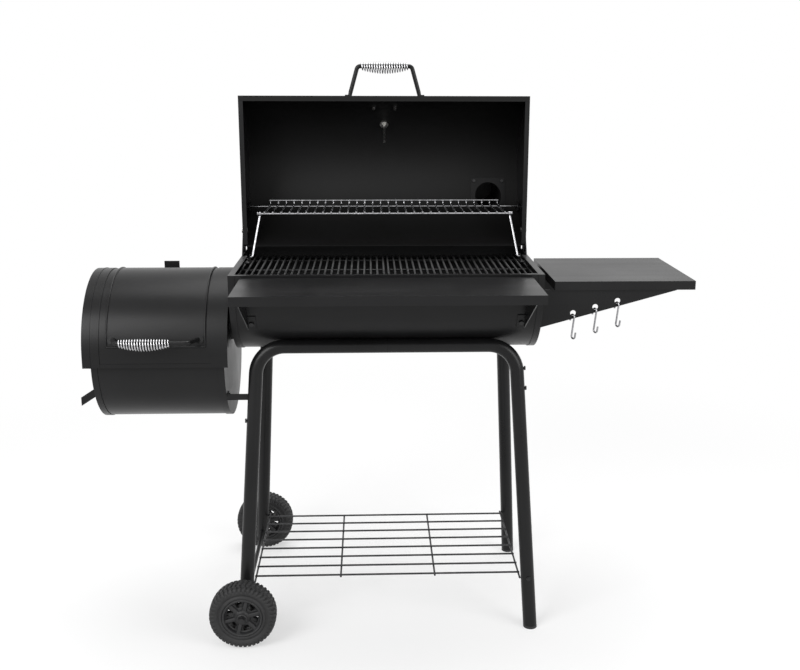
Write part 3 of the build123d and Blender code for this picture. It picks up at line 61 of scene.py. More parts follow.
# Shader maths
class Val:
    """One shader value: an output socket whose operators add Math nodes."""

    def __init__(self, graph: "Graph", socket: bpy.types.NodeSocket) -> None:
        """Keeps the socket and the graph that it belongs to."""
        self.graph = graph
        self.socket = socket

    def __add__(self, other: "Val | float") -> "Val":
        """Sum."""
        return self.graph.math("ADD", self, other)

    __radd__ = __add__

    def __sub__(self, other: "Val | float") -> "Val":
        """Difference."""
        return self.graph.math("SUBTRACT", self, other)

    def __rsub__(self, other: float) -> "Val":
        """Difference from a number."""
        return self.graph.math("SUBTRACT", other, self)

    def __mul__(self, other: "Val | float") -> "Val":
        """Product."""
        return self.graph.math("MULTIPLY", self, other)

    __rmul__ = __mul__

    def __truediv__(self, other: "Val | float") -> "Val":
        """Quotient."""
        return self.graph.math("DIVIDE", self, other)

    def __abs__(self) -> "Val":
        """Size without its sign."""
        return self.graph.math("ABSOLUTE", self)

    def root(self) -> "Val":
        """Square root."""
        return self.graph.math("SQRT", self)

    def part(self) -> "Val":
        """Fraction past the whole number."""
        return self.graph.math("FRACT", self)

    def most(self, other: "Val | float") -> "Val":
        """The larger of two values."""
        return self.graph.math("MAXIMUM", self, other)

    def rise(self, low: float, high: float) -> "Val":
        """Smooth step from 0 at low to 1 at high.

        Args:
            low: Value below which the step is 0.
            high: Value above which the step is 1.

        Returns:
            The step.
        """
        settings = {"interpolation_type": "SMOOTHSTEP"}
        inputs = {"Value": self, "From Min": low, "From Max": high}
        return Val(self.graph, self.graph.node("ShaderNodeMapRange", settings, inputs).outputs[0])


Link = Val | bpy.types.NodeSocket


class Graph:
    """The node tree of a material or of the world."""

    def __init__(self, owner: bpy.types.Material | bpy.types.World) -> None:
        """Starts an empty tree on its owner."""
        owner.use_nodes = True
        self.tree = owner.node_tree
        self.tree.nodes.clear()

    def node(self, kind: str, settings: dict | None = None, inputs: dict | None = None) -> bpy.types.Node:
        """Adds a node.

        Args:
            kind: Blender's type name.
            settings: Attributes of the node, or a ramp's stops, set before its sockets.
            inputs: Numbers, colours or links by socket name or index.

        Returns:
            The node.
        """
        made = self.tree.nodes.new(kind)
        for key, value in (settings or {}).items():
            if key == "stops":
                self.set_stops(made.color_ramp, value)
            else:
                setattr(made, key, value)
        for key, value in (inputs or {}).items():
            link = value.socket if isinstance(value, Val) else value
            if isinstance(link, bpy.types.NodeSocket):
                self.tree.links.new(link, made.inputs[key])
            else:
                made.inputs[key].default_value = link
        return made

    @staticmethod
    def set_stops(ramp: bpy.types.ColorRamp, stops: tuple[tuple[float, Colour], ...]) -> None:
        """Gives a ramp its stops, each a position and a colour."""
        while len(ramp.elements) < len(stops):
            ramp.elements.new(1.0)
        for element, (position, colour) in zip(ramp.elements, stops):
            element.position = position
            element.color = (*colour, 1.0)

    def math(self, operation: str, first: Val | float, second: Val | float = 0.0) -> Val:
        """One Math node on one or two values."""
        made = self.node("ShaderNodeMath", {"operation": operation}, {0: first, 1: second})
        return Val(self, made.outputs[0])

    def place(self) -> bpy.types.NodeSocket:
        """The point's place on the object, in metres."""
        return self.node("ShaderNodeTexCoord").outputs["Object"]

    def flat(self) -> bpy.types.NodeSocket:
        """The point's place on the piece's own UV map."""
        return self.node("ShaderNodeTexCoord").outputs["UV"]

    def split(self, vector: Link) -> tuple[Val, Val, Val]:
        """The three parts of a vector."""
        made = self.node("ShaderNodeSeparateXYZ", None, {0: vector})
        return Val(self, made.outputs[0]), Val(self, made.outputs[1]), Val(self, made.outputs[2])

    def stretch(self, vector: Link, scale: Triple) -> bpy.types.NodeSocket:
        """A vector scaled along each axis by a Mapping node."""
        return self.node("ShaderNodeMapping", None, {"Vector": vector, "Scale": scale}).outputs[0]

    def noise(self, vector: Link, per_metre: float, detail: float = 2.0, rough: float = 0.5) -> Val:
        """Cloud noise from 0 to 1 with that many cells in a metre."""
        inputs = {"Vector": vector, "Scale": per_metre, "Detail": detail, "Roughness": rough}
        return Val(self, self.node("ShaderNodeTexNoise", None, inputs).outputs[0])

    def cells(self, vector: Link, per_metre: float) -> bpy.types.Node:
        """Voronoi cells with that many in a metre."""
        return self.node("ShaderNodeTexVoronoi", None, {"Vector": vector, "Scale": per_metre})

    def mix(self, share: Val, first: Link | Colour, second: Link | Colour) -> bpy.types.NodeSocket:
        """Colour between two colours.

        Args:
            share: 0 for the first colour, 1 for the second.
            first: Colour or link.
            second: Colour or link.

        Returns:
            The mixed colour's socket.
        """
        ends = [(*end, 1.0) if isinstance(end, tuple) else end for end in (first, second)]
        settings = {"data_type": "RGBA"}
        return self.node("ShaderNodeMix", settings, {0: share, 6: ends[0], 7: ends[1]}).outputs[2]

    def bump(self, height: Val, depth: float) -> bpy.types.NodeSocket:
        """Normal from a height.

        Args:
            height: Height from 0 to 1.
            depth: What a height of 1 stands for, in metres.

        Returns:
            The normal's socket.
        """
        return self.node("ShaderNodeBump", None, {"Height": height, "Distance": depth}).outputs[0]

    def shown(self) -> Val:
        """1 for rays that carry a picture: from the camera, off a mirror or through glass."""
        path = self.node("ShaderNodeLightPath")
        kinds = ("Is Camera Ray", "Is Glossy Ray", "Is Transmission Ray")
        seen, mirrored, through = (Val(self, path.outputs[kind]) for kind in kinds)
        return seen.most(mirrored).most(through)

    def surface(self, inputs: dict) -> None:
        """Ends the material in one Principled shader with those sockets."""
        shader = self.node("ShaderNodeBsdfPrincipled", None, inputs)
        self.node("ShaderNodeOutputMaterial", None, {0: shader.outputs[0]})


# Finishes
@dataclass(frozen=True)
class Finish:
    """One finish; each kind of finish paints its own node tree."""

    name: str

    def paint(self, graph: Graph) -> None:
        """Fills the graph."""
        raise NotImplementedError

    def material(self) -> bpy.types.Material:
        """Builds the material."""
        material = bpy.data.materials.new(self.name)
        self.paint(Graph(material))
        return material


@dataclass(frozen=True)
class CoatLayers:
    """The noises that a powder coat is made of, each from 0 to 1."""

    cloud: Val
    streak: Val
    peel: Val
    speck: Val

    def tone(self) -> Val:
        """How light the pigment is, 0 to 1."""
        return (self.cloud * 0.5 + self.streak * 0.2 + self.speck * 0.3).rise(0.25, 0.75)

    def height(self) -> Val:
        """Height of the orange peel, 0 to 1."""
        return self.peel * 0.75 + self.speck * 0.25


@dataclass(frozen=True)
class PowderCoat(Finish):
    """Satin black powder coat: orange peel, pigment specks and faint rolling marks along the sheet.

    A scale is in cells for each metre, and a gloss is how far its noise moves the roughness.
    """

    dark: Colour = (0.0042, 0.0042, 0.0044)
    light: Colour = (0.0100, 0.0100, 0.0104)
    roughness: float = 0.34
    specular: float = 0.20
    cloud_scale: float = 5.0
    cloud_detail: float = 3.0
    cloud_gloss: float = 0.16
    streaks: Triple = (1.2, 26.0, 26.0)
    streak_gloss: float = 0.10
    peel_scale: float = 420.0
    peel_depth: float = 0.05 * MM
    peel_gloss: float = 0.08
    speck_scale: float = 2400.0
    mark_gloss: float = 0.4
    mark_depth: float = 4.0

    def layers(self, graph: Graph, place: bpy.types.NodeSocket) -> CoatLayers:
        """The coat's noises.

        Args:
            graph: The material's graph.
            place: The point's place on the object.

        Returns:
            The noises.
        """
        return CoatLayers(
            cloud=graph.noise(place, self.cloud_scale, self.cloud_detail),
            streak=graph.noise(graph.stretch(place, self.streaks), 1.0, 3.0),
            peel=graph.noise(place, self.peel_scale),
            speck=graph.noise(place, self.speck_scale, 1.0),
        )

    def paint(self, graph: Graph) -> None:
        """Tone and gloss from clouds, streaks and specks; bump from the orange peel."""
        place = graph.place()
        layers = self.layers(graph, place)
        colour = graph.mix(layers.tone(), self.dark, self.light)
        gloss = self.roughness + (layers.cloud - 0.5) * self.cloud_gloss
        gloss = gloss + (layers.streak - 0.5) * self.streak_gloss + (layers.peel - 0.5) * self.peel_gloss
        height = layers.height()
        marks = self.marks(graph, place)
        if marks is not None:
            colour = graph.mix(marks, colour, self.dark)
            gloss = gloss + marks * self.mark_gloss
            height = height - marks * self.mark_depth
        normal = graph.bump(height, self.peel_depth)
        sockets = {"Base Color": colour, "Roughness": gloss, "Normal": normal}
        graph.surface({**sockets, "Specular IOR Level": self.specular})

    def marks(self, graph: Graph, place: bpy.types.NodeSocket) -> Val | None:
        """Where the coat is broken by a joint, 0 to 1; a plain coat has none.

        Args:
            graph: The material's graph.
            place: The point's place on the object.

        Returns:
            The joint's mask, or None.
        """
        return None


@dataclass(frozen=True)
class TubeCoat(PowderCoat):
    """Powder coat of a bent tube whose bar is two lengths butted at its middle."""

    node: str = "leg_frame_front"
    seam: Span = (0.42 * MM, 0.7 * MM)

    def marks(self, graph: Graph, place: bpy.types.NodeSocket) -> Val | None:
        """A thin dark ring round the bar at the middle of the frame."""
        low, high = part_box(self.node)
        x, _, _ = graph.split(place)
        return 1.0 - abs(x - (low.x + high.x) / 2).rise(*self.seam)


@dataclass(frozen=True)
class LidCoat(PowderCoat):
    """Powder coat of a lid wall: satin outside; dull inside, where painted shade makes the inner face a
    little darker in mottled patches.
    """

    cloud_detail: float = 4.0
    node: str = "lid_shell"
    # Colour of the inner face, a little darker and browner than the coat: painted shade.
    inside: Colour = (0.0036, 0.0035, 0.0034)
    inside_roughness: float = 0.52
    skin: Span = (1.2 * MM, 0.5 * MM)

    def paint(self, graph: Graph) -> None:
        """As the powder coat, with the inner face told by its distance from the drum's axis."""
        low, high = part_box(self.node)
        radius = (high.z - low.z) / 2
        place = graph.place()
        _, y, z = graph.split(place)
        back, up = y - low.y, z - (low.z + high.z) / 2
        reach = (back * back + up * up).root()
        outer = reach.rise(radius - self.skin[0], radius - self.skin[1])
        layers = self.layers(graph, place)
        # Painted shade: the inner face mottled between the darker inner colour and the coat's dark.
        shaded_inside = graph.mix(layers.cloud.rise(0.35, 0.7), self.inside, self.dark)
        colour = graph.mix(outer, shaded_inside, graph.mix(layers.tone(), self.dark, self.light))
        gloss = self.inside_roughness + (self.roughness - self.inside_roughness) * outer
        gloss = gloss + (layers.cloud - 0.5) * self.cloud_gloss + (layers.peel - 0.5) * self.peel_gloss
        normal = graph.bump(layers.height(), self.peel_depth)
        sockets = {"Base Color": colour, "Roughness": gloss, "Normal": normal}
        graph.surface({**sockets, "Specular IOR Level": self.specular})


@dataclass(frozen=True)
class Enamel(Finish):
    """Dipped wire: a glossy coat with runs, pinholes and a slightly uneven skin."""

    dark: Colour = (0.004, 0.004, 0.0043)
    light: Colour = (0.012, 0.012, 0.0125)
    roughness: float = 0.32
    specular: float = 0.32
    drip_scale: float = 60.0
    drip_gloss: float = 0.22
    skin_scale: float = 380.0
    skin_depth: float = 0.12 * MM
    hole_scale: float = 520.0
    hole_gloss: float = 0.25

    def paint(self, graph: Graph) -> None:
        """Tone from drips and pinholes, bump from the uneven dip."""
        place = graph.place()
        drip = graph.noise(place, self.drip_scale, 3.0)
        skin = graph.noise(place, self.skin_scale)
        holes = Val(graph, graph.cells(place, self.hole_scale).outputs[0]).rise(0.04, 0.16)
        colour = graph.mix((drip * 0.6 + skin * 0.4).rise(0.3, 0.7), self.dark, self.light)
        gloss = self.roughness + (drip - 0.5) * self.drip_gloss + (1.0 - holes) * self.hole_gloss
        normal = graph.bump(skin * 0.7 + holes * 0.3, self.skin_depth)
        sockets = {"Base Color": colour, "Roughness": gloss, "Normal": normal}
        graph.surface({**sockets, "Specular IOR Level": self.specular})


@dataclass(frozen=True)
class Plated(Finish):
    """Plated steel: chrome when smooth, zinc when grained, with smudges and drawing marks along X.

    A set of fasteners can be blackened to the right of a place.
    """

    pale: Colour
    shade: Colour
    roughness: float
    smudge: float
    grain_scale: float
    grain_depth: float
    drawn: Triple = (0.25, 1.0, 1.0)
    smudge_scale: float = 48.0
    crystal_scale: float = 420.0
    black_right_of: float | None = None
    black: Colour = (0.010, 0.010, 0.011)
    black_gloss: float = 0.08

    def paint(self, graph: Graph) -> None:
        """Colour from plating crystals, gloss from smudges, bump from the grain."""
        place = graph.place()
        smudge = graph.noise(place, self.smudge_scale, 4.0)
        grain = graph.noise(graph.stretch(place, self.drawn), self.grain_scale)
        _, crystal, _ = graph.split(graph.cells(place, self.crystal_scale).outputs[1])
        tone = (smudge * 0.6 + crystal * 0.4).rise(0.2, 0.8)
        colour = graph.mix(tone, self.shade, self.pale)
        gloss = self.roughness + smudge.rise(0.45, 0.75) * self.smudge + (grain - 0.5) * self.smudge
        normal = graph.bump(grain, self.grain_depth)
        metal = 1.0
        if self.black_right_of is not None:
            x, _, _ = graph.split(place)
            black = x.rise(self.black_right_of - MM, self.black_right_of + MM)
            colour = graph.mix(black, colour, self.black)
            gloss = gloss + black * self.black_gloss
            metal = 1.0 - black
        graph.surface({"Base Color": colour, "Metallic": metal, "Roughness": gloss, "Normal": normal})


@dataclass(frozen=True)
class Moulded(Finish):
    """Moulded black plastic: a fine spark-eroded texture, flow marks and a thin cloud of dust."""

    dark: Colour = (0.008, 0.008, 0.0084)
    light: Colour = (0.020, 0.020, 0.021)
    dust: Colour = (0.042, 0.041, 0.040)
    dusty: float = 0.35
    dust_scale: float = 90.0
    dust_gloss: float = 0.15
    roughness: float = 0.55
    specular: float = 0.4
    flow_scale: float = 28.0
    flow_gloss: float = 0.14
    spark_scale: float = 1500.0
    spark_depth: float = 0.08 * MM

    def paint(self, graph: Graph) -> None:
        """Tone from flow marks and a thin dust cloud, bump from the texture."""
        place = graph.place()
        flow = graph.noise(place, self.flow_scale, 4.0)
        spark = graph.noise(place, self.spark_scale)
        dust = graph.noise(place, self.dust_scale, 5.0, 0.65).rise(0.5, 0.8)
        plain = graph.mix((flow * 0.6 + spark * 0.4).rise(0.3, 0.7), self.dark, self.light)
        colour = graph.mix(dust * self.dusty, plain, self.dust)
        gloss = self.roughness + (flow - 0.5) * self.flow_gloss + dust * self.dust_gloss
        normal = graph.bump(spark, self.spark_depth)
        sockets = {"Base Color": colour, "Roughness": gloss, "Normal": normal}
        graph.surface({**sockets, "Specular IOR Level": self.specular})


@dataclass(frozen=True)
class Brushed(Finish):
    """Stainless steel brushed along X, with a few deeper scratches."""

    pale: Colour = (0.62, 0.615, 0.60)
    shade: Colour = (0.40, 0.398, 0.39)
    roughness: float = 0.28
    fine_lines: Triple = (18.0, 2600.0, 2600.0)
    wide_lines: Triple = (6.0, 320.0, 320.0)
    line_depth: float = 0.02 * MM
    line_gloss: float = 0.16
    cloud_scale: float = 60.0
    cloud_gloss: float = 0.12

    def paint(self, graph: Graph) -> None:
        """Lines from noise drawn out along X feed tone, gloss and bump."""
        place = graph.place()
        fine = graph.noise(graph.stretch(place, self.fine_lines), 1.0)
        wide = graph.noise(graph.stretch(place, self.wide_lines), 1.0)
        cloud = graph.noise(place, self.cloud_scale, 3.0)
        tone = (fine * 0.5 + wide * 0.3 + cloud * 0.2).rise(0.25, 0.75)
        colour = graph.mix(tone, self.shade, self.pale)
        gloss = self.roughness + (fine - 0.5) * self.line_gloss + (cloud - 0.5) * self.cloud_gloss
        normal = graph.bump(fine * 0.7 + wide * 0.3, self.line_depth)
        graph.surface({"Base Color": colour, "Metallic": 1.0, "Roughness": gloss, "Normal": normal})


@dataclass(frozen=True)
class DialPrint(Finish):
    """Printed dial: white enamel with ticks, heat bands and a thin ring, drawn on the dial's UV map.

    Lengths are shares of the dial's radius, and turns are shares of the sweep.
    """

    paper: Colour = (0.80, 0.79, 0.76)
    paper_shade: float = 0.94
    ink: Colour = (0.015, 0.015, 0.016)
    roughness: float = 0.35
    sweep: float = math.radians(270.0)
    edge: float = 0.005
    ticks: int = 30
    tick_width: Span = (0.0016, 0.0026)
    tick_from: float = 0.80
    majors: int = 6
    major_width: Span = (0.0028, 0.0040)
    major_from: float = 0.74
    ticks_to: float = 0.90
    ring_at: float = 0.905
    ring_width: Span = (0.006, 0.012)
    band: Span = (0.64, 0.71)
    band_edge: float = 0.01
    heat: tuple[tuple[float, Colour], ...] = (
        (0.0, (0.10, 0.24, 0.42)),
        (0.30, (0.09, 0.32, 0.13)),
        (0.62, (0.62, 0.27, 0.03)),
        (0.80, (0.50, 0.03, 0.02)),
    )

    def paint(self, graph: Graph) -> None:
        """Polar coordinates about the middle: the angle gives ticks and bands, the radius their reach."""
        u, v, _ = graph.split(graph.flat())
        x, y = u - 0.5, v - 0.5
        reach = (x * x + y * y).root() * 2.0
        turn = graph.math("ARCTAN2", x, y) / self.sweep + 0.5
        on_scale = turn.rise(-self.edge, 0.0) * (1.0 - turn.rise(1.0, 1.0 + self.edge))
        small = self.marks(turn, reach, self.ticks, self.tick_width, self.tick_from)
        large = self.marks(turn, reach, self.majors, self.major_width, self.major_from)
        ring = 1.0 - abs(reach - self.ring_at).rise(*self.ring_width)
        start, end = self.band
        band = reach.rise(start, start + self.band_edge) * (1.0 - reach.rise(end, end + self.band_edge))
        cloud = graph.noise(graph.place(), 260.0, 3.0)
        paper = graph.mix(cloud, self.paper, tuple(self.paper_shade * part for part in self.paper))
        colour = graph.mix(band * on_scale, paper, self.heat_colour(graph, turn))
        colour = graph.mix(small.most(large).most(ring) * on_scale, colour, self.ink)
        graph.surface({"Base Color": colour, "Roughness": self.roughness + (cloud - 0.5) * 0.1})

    def marks(self, turn: Val, reach: Val, count: int, width: Span, start: float) -> Val:
        """Where ticks are printed, 0 to 1.

        Args:
            turn: Place on the sweep, 0 to 1.
            reach: Distance from the middle.
            count: Number of spaces between ticks.
            width: Half width at which a tick begins and ends to fade.
            start: Where the ticks begin, going out.

        Returns:
            The mask.
        """
        off = abs((turn * count + 0.5).part() - 0.5) / count * reach
        inside = 1.0 - reach.rise(self.ticks_to, self.ticks_to + self.edge)
        return (1.0 - off.rise(*width)) * reach.rise(start, start + self.edge) * inside

    def heat_colour(self, graph: Graph, turn: Val) -> bpy.types.NodeSocket:
        """Colour of the heat band at a turn of the dial, in steps: blue, green, amber and red."""
        made = graph.node("ShaderNodeValToRGB", {"stops": self.heat}, {0: turn})
        made.color_ramp.interpolation = "CONSTANT"
        return made.outputs[0]


@dataclass(frozen=True)
class Ink(Finish):
    """Printed ink or painted pointer."""

    colour: Colour
    shade: float = 0.7
    roughness: float = 0.4

    def paint(self, graph: Graph) -> None:
        """Even ink with a slight mottle."""
        mottle = graph.noise(graph.place(), 900.0)
        colour = graph.mix(mottle, self.colour, tuple(self.shade * part for part in self.colour))
        graph.surface({"Base Color": colour, "Roughness": self.roughness + mottle * 0.1})


@dataclass(frozen=True)
class Pane(Finish):
    """Clear cover glass with faint smears."""

    tint: Colour = (0.95, 0.97, 0.97)
    roughness: float = 0.02
    smear_gloss: float = 0.08
    index: float = 1.45

    def paint(self, graph: Graph) -> None:
        """Glass whose gloss varies with a smear cloud."""
        smear = graph.noise(graph.place(), 120.0, 4.0).rise(0.5, 0.9)
        sockets = {"Base Color": (*self.tint, 1.0), "Roughness": self.roughness + smear * self.smear_gloss}
        graph.surface({**sockets, "Transmission Weight": 1.0, "IOR": self.index})


class Look(Enum):
    """The grill's finishes."""

    COAT = PowderCoat("satin_black_coat")
    TUBE = TubeCoat("tube_black_coat", roughness=0.30, streaks=(26.0, 26.0, 1.2))
    LID = LidCoat("lid_black_coat")
    GRATE = Enamel("grate_enamel")
    SHELF_WIRE = Enamel(
        "shelf_wire_coat",
        dark=(0.016, 0.016, 0.017),
        light=(0.034, 0.034, 0.036),
        roughness=0.42,
    )
    # Base colours set a little low: partly a painted reflection of dark surroundings on the chrome.
    CHROME = Plated(
        "bright_chrome",
        pale=(0.66, 0.66, 0.67),
        shade=(0.44, 0.44, 0.45),
        roughness=0.12,
        smudge=0.10,
        grain_scale=700.0,
        grain_depth=0.01 * MM,
    )
    # Chrome of the hooks and warming rack, its colour set dark as a painted reflection of dark
    # surroundings.
    WIRE = Plated(
        "chrome_wire_painted_dark",
        pale=(0.46, 0.46, 0.47),
        shade=(0.24, 0.24, 0.25),
        roughness=0.16,
        smudge=0.12,
        grain_scale=700.0,
        grain_depth=0.02 * MM,
    )
    ZINC = Plated(
        "zinc_plate",
        pale=(0.62, 0.61, 0.58),
        shade=(0.40, 0.40, 0.40),
        roughness=0.30,
        smudge=0.18,
        grain_scale=900.0,
        grain_depth=0.03 * MM,
    )
    LID_BOLT = replace(ZINC, name="lid_bolts", black_right_of=0.15)
    BLACK_BOLT = PowderCoat(
        "black_bolts",
        dark=(0.006, 0.006, 0.0065),
        light=(0.016, 0.016, 0.0165),
        roughness=0.30,
        specular=0.3,
    )
    PLASTIC = Moulded("moulded_black_plastic")
    TYRE = Moulded(
        "tyre_black_plastic",
        dark=(0.007, 0.007, 0.0073),
        light=(0.017, 0.017, 0.0175),
        roughness=0.60,
    )
    STEEL = Brushed("brushed_steel")
    DIAL = DialPrint("dial_print")
    INK = Ink("dial_ink", (0.018, 0.018, 0.020))
    POINTER = Ink("red_pointer", (0.42, 0.02, 0.015))
    GLASS = Pane("cover_glass")


class Palette:
    """Builds each finish once."""

    made: dict[Look, bpy.types.Material] = {}

    @classmethod
    def of(cls, look: Look) -> bpy.types.Material:
        """The material of a finish."""
        if look not in cls.made:
            cls.made[look] = look.value.material()
        return cls.made[look]


# Meshes
def smooth_step(low: float, high: float, value: np.ndarray) -> np.ndarray:
    """Cubic step from 0 at low to 1 at high: 3t^2 - 2t^3."""
    t = np.clip((value - low) / (high - low), 0.0, 1.0)
    return t * t * (3.0 - 2.0 * t)


def grid_quads(rows: int, columns: int, wrap_rows: bool, wrap_columns: bool) -> np.ndarray:
    """Quads of a grid of points numbered row by row.

    Args:
        rows: Number of rows.
        columns: Number of points in a row.
        wrap_rows: Whether the last row joins the first.
        wrap_columns: Whether the last column joins the first.

    Returns:
        Array of four indices for each quad.
    """
    index = np.arange(rows * columns).reshape(rows, columns)
    if wrap_rows:
        index = np.concatenate([index, index[:1]])
    if wrap_columns:
        index = np.concatenate([index, index[:, :1]], axis=1)
    corners = (index[:-1, :-1], index[1:, :-1], index[1:, 1:], index[:-1, 1:])
    return np.stack(corners, axis=-1).reshape(-1, 4)


def make_piece(
    name: str, points: np.ndarray, faces: list | np.ndarray, look: Look, smooth: bool = True
) -> bpy.types.Object:
    """Puts points and faces into a mesh object at the origin.

    Args:
        name: Name of the piece.
        points: One row of x, y, z in metres for each point.
        faces: Point numbers of each face.
        look: Finish of the piece.
        smooth: Whether its faces are shaded smoothly.

    Returns:
        The object, linked to the scene.
    """
    mesh = bpy.data.meshes.new(name)
    rows = faces.tolist() if isinstance(faces, np.ndarray) else faces
    mesh.from_pydata(points.reshape(-1, 3).tolist(), [], rows)
    mesh.polygons.foreach_set("use_smooth", np.full(len(rows), smooth))
    mesh.materials.append(Palette.of(look))
    mesh.validate()
    mesh.update()
    piece = bpy.data.objects.new(name, mesh)
    bpy.context.scene.collection.objects.link(piece)
    return piece


def node_points(node: str) -> np.ndarray:
    """The points of a CAD node, one row each."""
    mesh = frame["nodes"][node].data
    flat = np.zeros(len(mesh.vertices) * 3, np.float32)
    mesh.vertices.foreach_get("co", flat)
    return flat.reshape(-1, 3).astype(float)


# Wheels
@dataclass
class Wheel:
    """A moulded wheel: lugged tyre and dished rim with six spokes.

    Sizes are in mm and angles in degrees. A section's points are a radius and a depth in from the side
    face of the tyre.
    """

    side: str
    lugs: int = 44
    lug_depth: float = 3.0
    lug_lean: float = 0.02
    block_edge: Span = (0.26, 0.46)
    tread_from: Span = (62.5, 67.0)
    row_at: float = 13.0
    row_notch: Span = (0.7, 1.5)
    middle_notch: Span = (0.6, 1.6)
    steps_per_lug: int = 14
    section_steps: int = 84
    spokes: int = 6
    first_spoke: float = 15.0
    spoke_depth: float = 5.0
    spoke_half: float = 5.2
    spoke_edge: Span = (1.6, 0.8)
    spoke_crown: float = 0.06
    window: Span = (23.5, 36.0)
    window_half: float = 13.0
    fine_rings: tuple[float, float, int] = (17.0, 41.0, 33)
    cell: float = 1.0
    tyre_section: tuple[Span, ...] = (
        (46.05, 4.0),
        (46.4, 1.8),
        (48.0, 0.8),
        (50.6, 0.8),
        (52.4, 1.8),
        (53.4, 3.4),
        (55.0, 3.6),
        (57.0, 2.0),
        (60.5, 0.6),
        (64.5, 0.0),
        (68.5, 0.4),
        (71.8, 2.2),
        (74.2, 5.8),
        (75.5, 11.0),
        (76.0, 18.0),
    )
    rim_section: tuple[Span, ...] = (
        (5.06, -3.4),
        (8.5, -3.8),
        (11.0, -3.4),
        (12.4, -1.0),
        (13.2, 3.0),
        (16.6, 4.0),
        (17.6, 8.0),
        (20.0, 11.5),
        (24.0, 12.5),
        (36.0, 12.5),
        (38.6, 11.0),
        (40.0, 3.8),
        (41.2, 1.6),
        (44.4, 1.2),
        (46.0, 2.6),
    )
    centre: Vector = field(init=False)
    half: float = field(init=False)

    def __post_init__(self) -> None:
        """Takes the wheel's middle and half width from its CAD tyre."""
        low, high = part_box(f"tyre_{self.side}")
        self.centre = (low + high) / 2
        self.half = (high.y - low.y) / 2 / MM

    def from_middle(self, section: tuple[Span, ...]) -> np.ndarray:
        """A section with its depths turned into distances from the wheel's middle."""
        points = np.array(section)
        points[:, 1] = self.half - points[:, 1]
        return points

    def placed(self, radius: np.ndarray, along: np.ndarray, turn: np.ndarray) -> np.ndarray:
        """Points from cylindrical coordinates about the axle, which runs along Y.

        Args:
            radius: Distance from the axle, mm.
            along: Distance along the axle from the wheel's middle, mm.
            turn: Angle about the axle, radians.

        Returns:
            Points in metres.
        """
        spread = np.stack([radius * np.cos(turn), along, radius * np.sin(turn)], axis=-1)
        return spread * MM + np.array(self.centre)

    def tyre(self) -> bpy.types.Object:
        """Section carried round the axle, sunk between the lugs.

        The lugs are two rows on each side, half a pitch apart: a triangle wave in the angle, stepped, gives
        the blocks of a row, and a notch at the row's edge parts the rows. The tread is sunk along the
        section's own normal where there is no block.

        Returns:
            The tyre.
        """
        half = self.from_middle(self.tyre_section)
        section = np.concatenate([half, half[::-1] * (1.0, -1.0)])
        steps = np.concatenate([[0.0], np.cumsum(np.hypot(*np.diff(section, axis=0).T))])
        samples = np.linspace(0.0, steps[-1], self.section_steps)
        radius = np.interp(samples, steps, section[:, 0])
        along = np.interp(samples, steps, section[:, 1])
        slope_r, slope_a = np.gradient(radius), np.gradient(along)
        size = np.hypot(slope_r, slope_a)
        normal_r, normal_a = -slope_a / size, slope_r / size
        turn = np.linspace(0.0, 2 * math.pi, self.lugs * self.steps_per_lug, endpoint=False)[:, None]
        row = np.where(np.abs(along) > self.row_at, 0.0, 0.5)
        phase = turn * self.lugs / (2 * math.pi) + row + self.lug_lean * along
        wave = np.abs(2.0 * (phase % 1.0) - 1.0)
        block = smooth_step(*self.block_edge, wave)
        parted = smooth_step(*self.row_notch, np.abs(np.abs(along) - self.row_at))
        middle = smooth_step(*self.middle_notch, np.abs(along))
        tread = smooth_step(*self.tread_from, radius)
        sunk = self.lug_depth * tread * (1.0 - block * parted * middle)
        turns = np.broadcast_to(turn, sunk.shape)
        points = self.placed(radius - sunk * normal_r, along - sunk * normal_a, turns)
        quads = grid_quads(*sunk.shape, wrap_rows=True, wrap_columns=True)
        return make_piece(f"tread_{self.side}", points, quads[:, ::-1], Look.TYRE)

    def rim(self) -> bpy.types.Object:
        """Two dished faces, back to back, with spokes raised on them and windows cut through.

        A face's height is the dish's section over the radius, lifted to the spoke's height near a spoke's
        middle line. Faces of the grid within a window are left out, and each grid edge between a kept and
        a missing face gets a wall to the other side.

        Returns:
            The rim.
        """
        section = self.from_middle(self.rim_section)
        radius = np.unique(np.concatenate([section[:, 0], np.linspace(*self.fine_rings), self.window]))
        turn = np.radians(np.arange(0.0, 360.0, self.cell))
        dish = np.interp(radius, *section.T)[:, None]
        pitch = 2 * math.pi / self.spokes
        off = (turn - math.radians(self.first_spoke) + pitch / 2) % pitch - pitch / 2
        across = radius[:, None] * np.abs(np.sin(off))
        inner, outer = self.spoke_edge
        spoke = 1.0 - smooth_step(self.spoke_half - inner, self.spoke_half + outer, across)
        crown = self.half - self.spoke_depth - self.spoke_crown * across**2
        height = np.where(dish < crown, dish + (crown - dish) * spoke, dish)
        rows, columns = height.shape
        spread = np.broadcast_to(radius[:, None], height.shape), np.broadcast_to(turn, height.shape)
        front = self.placed(spread[0], -height, spread[1]).reshape(-1, 3)
        back = self.placed(spread[0], height, spread[1]).reshape(-1, 3)

        middle_r = (radius[:-1] + radius[1:]) / 2
        middle_off = np.abs(np.abs(off + math.radians(self.cell / 2)) - pitch / 2)
        hole = (middle_r > self.window[0]) & (middle_r < self.window[1])
        open_cell = hole[:, None] & (middle_off < math.radians(self.window_half))
        quads = grid_quads(rows, columns, wrap_rows=False, wrap_columns=True)
        kept = quads[~open_cell.reshape(-1)]
        count = rows * columns
        index = np.arange(count).reshape(rows, columns)
        walls = [self.walls(index, open_cell, count), self.rings(index, count)]
        faces = np.concatenate([kept, kept[:, ::-1] + count, *walls])
        return make_piece(f"spoked_rim_{self.side}", np.concatenate([front, back]), faces, Look.PLASTIC)

